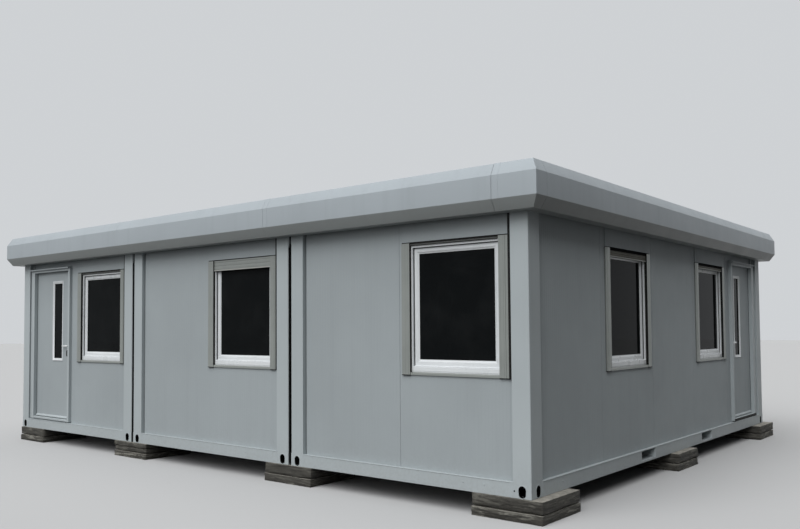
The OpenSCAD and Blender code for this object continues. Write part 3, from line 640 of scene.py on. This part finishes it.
def make_window_frames():
    """Fixed frames and sashes of white window plastic, mitred, with black gaskets, black flaps that paint the shade on
    the frames' inner returns, and a weather bar.
    """
    fixed, sashes, gaskets = Shape(), Shape(), Shape()
    front, back, sash_v = FRAME_BACK, FRAME_BACK + FRAME_D, FRAME_BACK + SASH_STEP
    wide, foot = HOLE_HALF - SASH_HALF, SASH_FOOT / SASH_W
    z0, z1 = GLASS_Z0 - SASH_FOOT, GLASS_Z1 + SASH_W
    fixed_line = [(0.0, front), (wide - 0.003, front), (wide, front + 0.0025), (wide, back), (0.0, back)]
    sash_line = near(0, sash_v, 5, 1.5, 7, 0, 30, 0, 31.8, 1.2, 33.8, 1.2, 35, 0)
    sash_line += near(SASH_W, sash_v, -6, 7, 0, 8.5) + [(SASH_W, back), (0.005, back)]
    edge_gasket = near(0, sash_v, 0, 3, 6, 3, 6, 22, 0, 22)
    pane_gasket = near(SASH_W, sash_v, -0.5, 8.5, 2.5, 8.5, 2.5, 9.2, -0.5, 9.2)
    shade_flap_v = (sash_v - 0.0055, sash_v + 0.0035)
    bar = near(sash_v, z0, 2.5, 1.2, -2, 1.2, -2.6, 2, -2.6, 5, -0.2, 8.5, 2.5, 8.5)
    for place, mid, low, shade_painted in WINDOWS:
        hole = span(mid, HOLE_HALF)
        fixed.frame(place, mid, HOLE_HALF, (z0 - wide, z1 + wide), fixed_line)
        fixed.box(place, hole, (front + 0.002, back), (z1 + wide, HOLE_Z1))
        fixed.box(place, hole, (front + 0.003, back), (HOLE_Z0, z0 - wide))
        sashes.frame(place, mid, SASH_HALF, (z0, z1), sash_line, foot)
        gaskets.frame(place, mid, SASH_HALF, (z0, z1), edge_gasket)
        gaskets.frame(place, mid, SASH_HALF, (z0, z1), pane_gasket, foot)
        # Painted shade: a black flap down each side and along the top of the sash darkens the frame's inner return
        for s in (-1, 1):
            u = sorted((mid + s * (SASH_HALF + 0.0002), mid + s * (SASH_HALF - 0.0012)))
            gaskets.box(place, u, shade_flap_v, (z0 + 0.006, z1 - 0.0002))
        gaskets.box(place, span(mid, SASH_HALF - 0.0013), shade_flap_v, (z1 - 0.0012, z1 + 0.0002))
        sashes.prism(place, bar, span(mid, SASH_HALF - 0.0030))
    piece("window_fixed_frames", fixed, plastic, instead="window_frames", bevel=0.0012)
    piece("window_sashes", sashes, plastic)
    piece("window_gaskets", gaskets, rubber)


def make_guides():
    """Drawn guides with fine lines, a screw, a foot cap and dark edges, the strip under the frame, and a dark strip of
    painted shade under each box cover, near black on the right side.
    """
    guides, caps, screws, edges, strips, shade_strips = (Shape() for k in range(6))
    foot = WIN_Z0 + 0.0295
    strip = near(0, WIN_Z0, 6.5, 3, 6, 4, 6, 21, 7, 22.5)
    strip += [(FRAME_BACK, foot), (FRAME_BACK, HOLE_Z0), (SEAT_V, HOLE_Z0), (SEAT_V, WIN_Z0 + 0.003)]
    for place, mid, low, shade_painted in WINDOWS:
        for s in (-1, 1):
            outer = mid + s * WIN_W / 2
            guides.column(place, [(outer - s * u, v) for u, v in GUIDE_LINE], (WIN_Z0 + 0.006, WIN_Z1 - 0.0005))
            for shape, a, b, v, z in (
                    (caps, 0.0010, GUIDE_W - 0.0005, (0.0012, 0.0175), (WIN_Z0, WIN_Z0 + 0.0062)),
                    (edges, -0.0045, 0.0002, (0.0165, 0.0185), (WIN_Z0, WIN_Z1)),
                    (edges, GUIDE_W - 0.0150, GUIDE_W - 0.0015, (0.0121, 0.0259), (foot, WIN_Z1 - low - 0.0010)),
                    (edges, GUIDE_W, GUIDE_W + 0.0004, (0.0022, 0.0120), (foot, WIN_Z1 - 0.001)),
                    (edges, GUIDE_W, GUIDE_W + 0.0004, (0.0260, 0.0278), (foot, WIN_Z1 - 0.001))):
                shape.box(place, sorted((outer - s * a, outer - s * b)), v, z)
            screws.dome(place, outer - s * 0.0590, 0.0002, WIN_Z1 - 0.045, 0.0036, 0.0014)
        strips.prism(place, strip, span(mid, WIN_W / 2 - GUIDE_W - 0.0006))
        # Painted shade: the strip hung under each box cover stands for the cover's shadow over the curtain's top,
        # longest and near black on the right side
        hang = 0.0300 if shade_painted else (0.0150 if low == ROLLED_UP else 0.0078)
        seal = shade_strips if shade_painted else edges
        seal.box(place, span(mid, WIN_W / 2 - 0.002), (0.0104, 0.0130), (BOX_Z0 - hang, BOX_Z0 + 0.0006))
    piece("shutter_guide_profiles", guides, aluminium, instead="shutter_guides")
    piece("shutter_sill_strips", strips, aluminium)
    piece("shutter_guide_caps", caps, rubber, bevel=0.001)
    piece("shutter_guide_screws", screws, aluminium, smooth=40)
    piece("shutter_shadow_seals", edges, rubber)
    piece("shutter_painted_shade_strips", shade_strips, shade_black)


def slat_outline(z0, pitch):
    """One hollow slat with its hooks, as (v, z) points: the outside bulges and the joint below is a groove."""
    front, back, bulge = 0.0132, 0.0240, 0.0018
    line = near(front, z0, 5.2, 0, 3, 0.4, 2.8, 4)
    for t in (k / 8 for k in range(9)):
        line.append((front + bulge * (1 - 4 * t * (1 - t)), z0 + 0.0052 + (pitch - 0.0064) * t))
    line += near(front, z0 + pitch, 3.5, -0.4, 4.2, 3) + near(back, z0 + pitch, -3, 3, -2.4, -1)
    return line + near(back, z0, 0, 6, -2, 0)


def make_slats():
    """Each curtain's end: slats hooked into one another over a heavier bar, with a rubber foot; the right side's slats
    and the bars of rolled-up curtains are darkened with painted shade.
    """
    slats, shaded_slats, bars, shaded_bars, feet = (Shape() for k in range(5))
    for place, mid, low, shade_painted in WINDOWS:
        u = span(mid, WIN_W / 2 - GUIDE_W + 0.012)
        pitch = 0.0185 if shade_painted else 0.037
        z = WIN_Z1 - low
        bar = near(0, z, 14.5, 3, 13.2, 4.2, 13.2, 12, 14.5, 13.5, 23.5, 13.5, 24.8, 12, 24.8, 4.2, 23.5, 3)
        # Rolled-up curtains take the dark copy, which paints the shade under the box cover
        (shaded_bars if low == ROLLED_UP else bars).prism(place, bar, u)
        feet.box(place, u, (0.0155, 0.0225), (z, z + 0.0032))
        z += 0.0140
        while z < BOX_Z0 - 0.006:
            room = BOX_Z0 - 0.0035 - z
            # The right side's slats take the paint of painted shade
            (shaded_slats if shade_painted else slats).prism(place, slat_outline(z, min(pitch, room)), u)
            z += pitch
    piece("shutter_curtain_slats", slats, aluminium, instead="shutter_slats", smooth=30)
    piece("shutter_painted_shade_slats", shaded_slats, shaded_slat_paint, smooth=30)
    piece("shutter_end_bars", bars, pale_bar, bevel=0.0006)
    piece("shutter_painted_shade_end_bars", shaded_bars, shaded_bar_paint, bevel=0.0006)
    piece("shutter_rubber_feet", feet, rubber)


def make_box_covers():
    """The shutter boxes' covers, with the walls' fine ribs and a folded edge below."""
    shape = Shape()
    fold = near(0, BOX_Z0, 17.8, 0, 11.2, 0, 10.1, 1, 10.1, 8.5, 11, 10, 17.8, 10)
    for place, mid, low, shade_painted in WINDOWS:
        u0, u1 = span(mid, WIN_W / 2 - 0.004)
        ribs = [u0 + 0.012 + k * RIB_PITCH for k in range(int((u1 - u0 - 0.02) / RIB_PITCH) + 1)]
        line = ribbed(u0, u1, SEAT_V, 0.0107, (0.001, 0.001), 0.0006, ribs)
        shape.column(place, line, (BOX_Z0 + 0.010, HEAD_Z - 0.001))
        shape.prism(place, fold, (u0, u1))
    piece("shutter_box_covers", shape, paint_panel, instead="shutter_boxes")


# DOORS


def door_frame(side):
    """Folded steel jambs and head with a lip, a threshold, a drip rail with its turned-up ends, and the seals, with a
    dark strip along the side door's step that is partly a dark threshold and partly painted shade.
    """
    place, door = DOORS[side], f"{side}_door"
    folded, rail, seal = Shape(), Shape(), Shape()
    top, head_z, stop_v = DOOR_TOP - 0.0005, LEAF_Z1 - LIP, 0.045
    jamb = [(0.0, WALL_INNER)] + near(0, 0, 0, 1.5, 1.5, 0.2, 30, 0.2, 30, 4, 33, 4, 33, 0.2)
    jamb += near(OPEN_X[0], 0, -2.5, 0.2, 0, 2.5, 0, 45) + [(JAMB, stop_v), (JAMB, WALL_INNER)]
    lock = [(DOOR_W, WALL_INNER)] + near(DOOR_W, 0, 0, 1.5, -1.5, 0.2) + near(OPEN_X[1], 0, 2.5, 0.2, 0, 2.5, 0, 45)
    lock += [(DOOR_W - LOCK_JAMB, stop_v), (DOOR_W - LOCK_JAMB, WALL_INNER)]
    for outline in (jamb, lock):
        folded.column(place, outline, (RAIL_H + 0.016, top))
    head = [(0.0002, top)] + near(0, head_z, 0.2, 2.5, 2.5, 0, 45, 0)
    head += [(stop_v, LEAF_Z1 + LEAF_GAP), (WALL_INNER, LEAF_Z1 + LEAF_GAP), (WALL_INNER, top)]
    folded.prism(place, head, OPEN_X)
    step = near(0, RAIL_H, 32, 1, 32, 15.5, 3, 15.5, 0.5, 18) + near(0, LEAF_Z0, 0.5, -10, 3.5, -7.2)
    step += near(WALL_INNER, LEAF_Z0, 0, -7.2) + near(WALL_INNER, RAIL_H, 0, 1)
    folded.prism(place, step, (0.008, DOOR_W - 0.008))
    piece(f"{door}_frame_folded", folded, paint_frame, instead=f"{door}_frame")

    out, rise, ear_t = 0.026, 0.022, 0.003
    line = near(-out, DOOR_TOP, 4, 8.8, 1, 7, 0, 4, 0, -5, 1, -6, 2.2, -5, 2.2, 3, 5, 6.2)
    rail.prism(place, near(LEAF_BACK, DOOR_TOP + rise, 0, 0) + line + near(LEAF_BACK, DOOR_TOP + rise, 0, -2.2),
               (0.0, DOOR_W))
    ear = [(0.004, DOOR_TOP), (LEAF_BACK, DOOR_TOP), (LEAF_BACK, DOOR_TOP + rise)]
    ear += near(-out, DOOR_TOP, 0, 8, 0, -6, 8, -6)
    for x in (0.0, DOOR_W - ear_t):
        rail.prism(place, ear, (x, x + ear_t))
    rail.box(place, (ear_t, DOOR_W - ear_t), (0.001, 0.004), (DOOR_TOP - 0.0004, DOOR_TOP + 0.010))
    piece(f"{door}_drip_rail", rail, paint_frame, smooth=35)

    v = (stop_v + 0.0002, stop_v + 0.0040)
    x0, x1 = OPEN_X[0] - 0.0015, OPEN_X[1] + 0.0015
    for x in ((x0 - 0.006, x0), (x1, x1 + 0.006)):
        seal.box(place, x, v, (LEAF_Z0, head_z + 0.004))
    seal.box(place, (x0, x1), v, (head_z + 0.0015, head_z + 0.0075))
    # Painted shade: the side door's step strip paints the recess's shade over a dark threshold
    if side == "side":      # the dark strip along the far door's step
        seal.box(place, (0.010, DOOR_W - 0.010), (-0.0006, 0.0004), (RAIL_H + 0.0030, LEAF_Z0 - 0.0098))
    piece(f"{door}_frame_seal", seal, rubber)


def door_leaf(side):
    """Steel-faced leaf with turned edges, a sloping weather bar at its foot, and the leaf's hinge knuckles."""
    place, body = DOORS[side], f"{side}_door"
    skin, bar, knuckles = Shape(), Shape(), Shape()
    skin.pierced(place, LEAF_X, (LEAF_BACK, LEAF_INNER), (LEAF_Z0, LEAF_Z1), span(SLOT_MID, SLOT_HALF - SLOT_REBATE),
                 (SLOT_Z[0] + SLOT_REBATE, SLOT_Z[1] - SLOT_REBATE))
    piece(f"{body}_leaf_skin", skin, paint_panel, body, instead=f"{body}_leaf", bevel=0.0016)
    line = near(LEAF_BACK, LEAF_Z0, 1, 2, 1, 28, -2, 26.5, -12.8, 15.5, -14, 13.5, -14, 2)
    bar.prism(place, line, (OPEN_X[0] + LEAF_GAP, OPEN_X[1] - LEAF_GAP))
    piece(f"{body}_weather_bar", bar, paint_frame, body, smooth=35)
    x, v = LEAF_X[0] - 0.005, LEAF_INNER + 0.018
    for low in (0.449, 1.229, 1.949):
        high = low + 0.048
        knuckles.rod(place(x, v, low), place(x, v, high), 0.009, 24, tip=0.0075)
        knuckles.box(place, (x + 0.002, x + 0.046), (v - 0.009, v - 0.004), (low, high))
        knuckles.box(place, (x + 0.012, x + 0.046), (LEAF_INNER, v - 0.008), (low, high))
    piece(f"{body}_leaf_knuckles", knuckles, paint_frame, body, smooth=35)


def door_slot(side):
    """The tall narrow glazed slot: a white frame on both faces, and black gaskets on the glass."""
    body = f"{side}_door"
    profiles, gaskets = Shape(), Shape()
    profile = near(0, 0, 0, -0.2, 0, 4, 3, 6.8, 10, 6.8, 14, 3, 30, -1, 33.5, -4, 33.5, -12, 22, -12, 22, -0.2)
    gasket = near(0, 0, 32.5, -3.6, 35.2, -4.8, 35.2, -12, 32.5, -12)
    for face, s in LEAF_FACES:
        for shape, line in ((profiles, profile), (gaskets, gasket)):
            shape.frame(DOORS[side], SLOT_MID, SLOT_HALF, SLOT_Z, [(inset, face + s * out) for inset, out in line])
    piece(f"{body}_slot_profiles", profiles, plastic, body, instead=f"{body}_slot_frame", smooth=30)
    piece(f"{body}_slot_gaskets", gaskets, rubber, body)


def rounded_outline(half_w, z0, z1, radius, steps=5):
    """A plate's outline as (x, z) points, with round corners."""
    points = []
    x, low, high = half_w - radius, z0 + radius, z1 - radius
    for x, z, start in ((x, high, 0), (-x, high, 90), (-x, low, 180), (x, low, 270)):
        turns = [radians(start + 90 * k / steps) for k in range(steps + 1)]
        points += [(x + radius * cos(a), z + radius * sin(a)) for a in turns]
    return points


def door_handle(side):
    """Plates with screws, levers that bend back to the leaf, and a cylinder, covered outside, its keyhole inside."""
    place, body = DOORS[side], f"{side}_door"
    metal, dark, caps = Shape(), Shape(), Shape()
    spindle, lever_z = LEAF_X[1] - 0.065, 1.112
    plate_z, lock_z, cover_z = lever_z - 0.050, lever_z - 0.092, lever_z - 0.094
    plate_w, plate_h = 0.021, 0.100
    plate = rounded_outline(plate_w, *span(plate_z, plate_h), 0.009)
    cover = rounded_outline(0.0180, *span(cover_z, 0.042), 0.0170)
    path = near(0, 0, 0, 10, 0, 22, -2, 30, -8, 34, -18, 35, -40, 34.5, -80, 33, -100, 31, -110, 28.5, -117, 24.5)
    thick = [(0.0090, 0.0090)] * 3 + [(0.0080, 0.0112)] * 6 + [(0.0045, 0.0070)]
    for face, s in LEAF_FACES:

        def at(x, out, z):
            return place(spindle + x, face + s * out, z)

        metal.sweep([[at(x * (1 - less / plate_w), out, plate_z + (z - plate_z) * (1 - less / plate_h))
                      for x, z in plate] for less, out in ((0, 0), (0, 0.0062), (0.0006, 0.0074), (0.0018, 0.0080))])
        metal.rod(at(0, 0.0080, lever_z), at(0, 0.0120, lever_z), 0.0160, 28, tip=0.0135)
        rings = []
        for k, (wide, high) in enumerate(thick):
            along = (Vector(path[min(k + 1, 9)]) - Vector(path[max(k - 1, 0)])).normalized()
            ring = [(Vector(path[k]) + Vector((-along.y, along.x)) * wide * cos(a), high * sin(a))
                    for a in (n * pi / 8 for n in range(16))]
            rings.append([at(p.x, p.y, lever_z + rise) for p, rise in ring])
        metal.sweep(rings)
        metal.rod(at(0, 0.0075, lock_z), at(0, 0.0135, lock_z), 0.0088, 24, tip=0.0078)
        for z in (lever_z + 0.040, lever_z - 0.140):
            dark.rod(at(0, 0.0076, z), at(0, 0.00815, z), 0.0036, 16)
        if s > 0:
            dark.box(at, (-0.0011, 0.0011), (0.0128, 0.01355), (lock_z - 0.0055, lock_z + 0.0020))
            dark.rod(at(0, 0.0125, lock_z + 0.0022), at(0, 0.0136, lock_z + 0.0022), 0.0023, 14)
        else:
            caps.sweep([[at(x * share, out, cover_z + (z - cover_z) * share) for x, z in cover] for share, out in
                        ((1, 0.0078), (1, 0.0205), (0.96, 0.0235), (0.86, 0.0252), (0.60, 0.0262))])
    piece(f"{body}_lever_set", metal, steel, body, instead=f"{body}_handle", smooth=35)
    piece(f"{body}_keyholes", dark, rubber, body)
    piece(f"{body}_lock_cap", caps, rubber, body, smooth=50)


# BASE, ROOF AND BLOCKS

# Each module's stretch of a side: its ends, its posts' width, and how far in its lashing holes and rail bolts are
STRETCHES = (
    [(place, x, x + MOD_W, POST_X, 0.080, (0.42, 0.62)) for place in (FRONT, BACK) for x in MOD_X]
    + [(place, 0.0, MOD_L, POST_Y, 0.108, (0.52, 1.9)) for place in (RIGHT, LEFT)]
)


def oval(half_w, half_h, steps=8):
    """An upright oval as (u, z) points round the origin."""
    rise = half_h - half_w
    turns = [pi * k / steps for k in range(2 * steps)]
    return [(half_w * cos(a), half_w * sin(a) + (rise if sin(a) >= 0 else -rise)) for a in turns]


def make_rails_and_castings():
    """Rails with a rounded upper lip and bolt heads; castings with welds and worn lashing holes, with painted shade in
    the holes, on a drain dot and inside.
    """
    lips, welds, heads, rims, dirt, inside = (Shape() for k in range(6))
    lip = near(0, RAIL_H, 16.5, -4, -1.5, -4, -2.8, -3, -3, -0.5, -2, 1.2, 0, 1.8, 16.5, 1)
    hole_w, hole_h, hole_z = 0.029, 0.040, 0.050
    for place, start, end, post, hole, bolts in STRETCHES:
        lips.prism(place, lip, (start + post + 0.002, end - post - 0.002))
        for u in (start + post, end - post):
            rings = []
            for z in (0.004 + k * (RAIL_H - 0.012) / 14 for k in range(15)):
                w = 0.0030 + 0.0009 * noise.noise(Vector((u * 9, z * 60, 1.0)))
                rings.append([place(u + share * w, v, z) for share, v in
                              ((-1, 0.0004), (-0.5, -0.0016), (0.5, -0.0016), (1, 0.0004))])
            welds.sweep(rings)
        for u in [start + bolt for bolt in bolts] + [end - bolt for bolt in bolts]:
            heads.dome(place, u, 0.0, 0.070, 0.007, 0.0030)
        for u in (start + hole, end - hole):
            # Painted shade: a near-black lining inside each lashing hole and a thin ring round its mouth
            for shape, line in ((dirt, near(0, 0, -0.3, 13.8, -0.3, -0.4, 0.5, -1, 4.2, -1, 4.6, 0)),
                                (rims, near(0, 0, 4.4, -0.4, 4.8, -1.4, 6.4, -1.8, 8, -1.2, 9, 0.3))):
                shape.sweep([[place(u + x, v, hole_z + z) for x, z in oval(hole_w + grow, hole_h + grow * 1.5)]
                             for grow, v in line], caps=False)
    # Painted shade: a flat near-black dot stands for a drain hole in the front rail
    drain_u = MOD_X[2] + MOD_W - 0.149
    dirt.dome(FRONT, drain_u, -0.0002, 0.052, 0.0070, 0.0006)
    # Painted shade: near-black plates inside each hollow casting
    wall, t = 0.0142, 0.0010
    u, v, z = (wall, POST_X - wall), (wall, POST_Y - wall), (wall, RAIL_H - wall)
    short_u, short_v = (wall, u[1] - t - 0.0002), (wall, v[1] - t - 0.0002)
    for x, y, sx in product(MOD_X, (0, 1), (0, 1)):
        corner = Facade(FRONT(x + sx * MOD_W, y * MOD_L, 0), (1 - 2 * sx, 0, 0), (0, 1 - 2 * y, 0))
        inside.box(corner, (u[1] - t, u[1]), v, z)
        inside.box(corner, short_u, (v[1] - t, v[1]), z)
        for low in (z[0], z[1] - t):
            inside.box(corner, short_u, short_v, (low, low + t))
    piece("rail_lips", lips, paint_frame, smooth=40)
    piece("casting_welds", welds, paint_frame, smooth=60)
    piece("lashing_hole_rims", rims, paint_frame, smooth=60)
    piece("lashing_hole_shade", dirt, shade_black, smooth=60)
    piece("casting_insides", inside, shade_black)
    piece("rail_bolt_heads", heads, paint_frame, smooth=45)


def make_roof_details():
    """Rounded caps on the ribs of the roof sheets, and screws along the caps over the joints."""
    ribs, screws = Shape(), Shape()
    inner, count = 0.090, 9
    for x, k in product(MOD_X, range(1, count)):
        u = x + inner + k * (MOD_W - 2 * inner) / count
        line = near(u, ROOF_Z - 0.038, -20.5, -4, -18.5, 1.5, 18.5, 1.5, 20.5, -4)
        ribs.sweep([[FRONT(u, y, z) for u, z in line] for y in (inner + 0.001, MOD_L - inner - 0.001)])
    turns = [k * pi / 5 for k in range(10)]
    top = ROOF_Z + FASCIA_T
    for x, side in product(MOD_X[1:], (-1, 1)):
        u = x - GAP / 2 + side * 0.045
        y = 0.12
        while y < MOD_L - 0.1:
            screws.sweep([[FRONT(u + r * cos(a), y + r * sin(a), top - low) for a in turns]
                          for r, low in ((0.0075, 0.0030), (0.0075, 0.0012), (0.0035, 0.0002))])
            y += 0.30
    piece("roof_rib_caps", ribs, paint_roof)
    piece("roof_cap_screws", screws, steel, smooth=45)


def slab(shape, low, high, seed):
    """A cast slab with worn edges and a rough face, inside the given box."""
    size = high - low
    counts = [max(2, round(size.x / 0.035)), max(2, round(size.y / 0.035)), max(3, round(size.z / 0.018))]
    index = {}
    points, faces = [], []

    def corner(key):
        if key not in index:
            t = Vector([key[a] / counts[a] for a in range(3)])
            p = Vector([low[a] + t[a] * size[a] for a in range(3)])
            edge = sum(1 for a in range(3) if t[a] in (0.0, 1.0))
            seeded = p * 9.0 + Vector((seed, seed * 2.3, seed * 0.7))
            worn = 0.0035 + 0.0055 * (noise.noise(seeded * 0.8) + 0.5)
            chip = max(0.0, noise.noise(seeded * 1.7) - 0.18) * 0.030
            pull = (0.0015 + 0.0035 * abs(noise.noise(seeded * 3.1))) + (worn + chip) * (edge > 1) * 0.7
            for a in range(3):
                if t[a] == 0.0:
                    p[a] += pull if a < 2 or low.z > 0.001 else 0.0
                if t[a] == 1.0:
                    p[a] -= pull if a < 2 else min(pull, 0.004)
            index[key] = len(points)
            points.append(p)
        return index[key]

    for a, b, c in ((0, 1, 2), (0, 2, 1), (1, 2, 0)):
        for s, t, end in product(range(counts[a]), range(counts[b]), (0, counts[c])):
            face = []
            for ds, dt in SQUARE:
                key = [0, 0, 0]
                key[a], key[b], key[c] = s + ds, t + dt, end
                face.append(corner(tuple(key)))
            faces.append(face)
    shape.add(points, faces)


def make_blocks():
    """The stacks as layers of slabs; each stack's place and layers are those of the model."""
    small, wide, aside = 0.600, 0.640, 0.007
    stacks = ((0.285, small), (MOD_X[1] - GAP, wide), (MOD_X[2] - GAP, wide), (TOTAL_W - 0.216, wide))
    seed = 1.0
    for row, y in (("front", 0.305), ("middle", MOD_L / 2 + 0.019), ("back", MOD_L - 0.187)):
        shape = Shape()
        for k, (x, width) in enumerate(stacks):
            w, d = (small, small) if row == "middle" else (width, wide)
            low = -LIFT
            for n, share in enumerate((0.36, 0.30, 0.34) if (row, k) == ("front", 1) else (0.42, 0.58)):
                more = aside if n % 2 == 0 else 0.0
                top = low + LIFT * share
                slab(shape, FRONT(x - w / 2 - more, y - d / 2 - more, low),
                     FRONT(x + w / 2, y + d / 2 + more, top), seed)
                low = top
                seed += 1.37
        piece(f"{row}_slabs", shape, concrete, instead=f"{row}_blocks", smooth=50)


make_skins()
make_gap_linings()
make_fascia()
make_window_frames()
make_guides()
make_slats()
make_box_covers()
for side in DOORS:
    door_frame(side)
    door_leaf(side)
    door_slot(side)
    door_handle(side)
make_rails_and_castings()
make_roof_details()
make_blocks()
for name in ("front_posts", "back_posts", "base_frame_a", "base_frame_b", "base_frame_c"):
    round_edges(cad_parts[name], 0.0022 if "posts" in name else 0.0020, 50)

# STUDIO


def two_ways(owner, output, kind, lit, seen):
    """Shades one way for the light on the object, and another for the camera, gloss and glass."""
    owner.use_nodes = True
    tree = owner.node_tree
    tree.nodes.clear()
    path = add_node(tree, "LightPath").outputs
    direct = path["Is Camera Ray"]
    for other in ("Is Glossy Ray", "Is Transmission Ray"):
        direct = add_node(tree, "Math", {0: direct, 1: path[other]}, operation="MAXIMUM").outputs[0]
    shaders = [add_node(tree, kind, inputs).outputs[0] for inputs in (lit, seen)]
    mixed = add_node(tree, "MixShader", {0: direct, 1: shaders[0], 2: shaders[1]}).outputs[0]
    add_node(tree, output, {0: mixed})


def make_world():
    world = bpy.data.worlds.new("studio")
    bpy.context.scene.world = world
    two_ways(world, "OutputWorld", "Background", {"Color": (0.94, 0.97, 1.0, 1.0), "Strength": 0.055},
             {"Color": (0.62, 0.64, 0.66, 1.0)})


def make_floor():
    """A pale floor that throws little light back up, as dark paving does."""
    size = 90.0
    mesh = bpy.data.meshes.new("studio_floor")
    mesh.from_pydata([(size * (2 * a - 1), size * (2 * b - 1), 0) for a, b in SQUARE], [], [range(4)])
    floor = add_object("studio_floor", mesh)
    material = bpy.data.materials.new("studio_floor")
    two_ways(material, "OutputMaterial", "BsdfDiffuse", {"Color": (0.070, 0.068, 0.066, 1.0)},
             {"Color": (0.45, 0.455, 0.46, 1.0)})
    mesh.materials.append(material)


def make_sun(name, towards, level, angle, mirrored=True):
    """A soft sun. A white face that looks straight at it gets this level, where 1 is white."""
    light = bpy.data.lights.new(name, "SUN")
    light.energy = level * pi
    light.angle = radians(angle)
    item = add_object(name, light)
    item.rotation_euler = Vector(towards).to_track_quat("Z", "Y").to_euler()
    item.visible_glossy = mirrored


def make_camera():
    """The photograph's own camera: its place, its turn, its focal length and its centre in pixels."""
    width, height = 800, 529
    focal_px = 809.22
    centre_px = (374.46, 294.78)
    turns = (39.776, "Z"), (90 + 2.447, "X"), (-0.340, "Z")     # yaw, pitch up from upright, and roll
    camera = bpy.data.cameras.new("camera")
    camera.sensor_fit = "HORIZONTAL"
    camera.sensor_width = 36.0
    camera.lens = focal_px / width * camera.sensor_width
    camera.shift_x = (width / 2 - centre_px[0]) / width
    camera.shift_y = (centre_px[1] - height / 2) / width
    camera.clip_end = 300.0
    placed = Matrix.Translation((7.0048, -8.7623, 1.4863))
    for degrees, axis in turns:
        placed = placed @ Matrix.Rotation(radians(degrees), 4, axis)
    item = add_object("camera", camera)
    item.matrix_world = placed
    bpy.context.scene.camera = item


make_world()
make_floor()
make_sun("key", (0.12, -0.60, 0.79), 0.62, 60)
make_sun("sky", (0.05, -0.10, 0.99), 0.46, 80)
make_sun("front_fill", (-0.05, -0.88, 0.47), 0.38, 60, mirrored=False)
make_sun("back_fill", (-0.15, 0.95, 0.28), 0.20, 60, mirrored=False)
make_sun("left_fill", (-0.95, 0.05, 0.28), 0.20, 60, mirrored=False)
make_camera()
bpy.context.scene.view_settings.view_transform = "Standard"
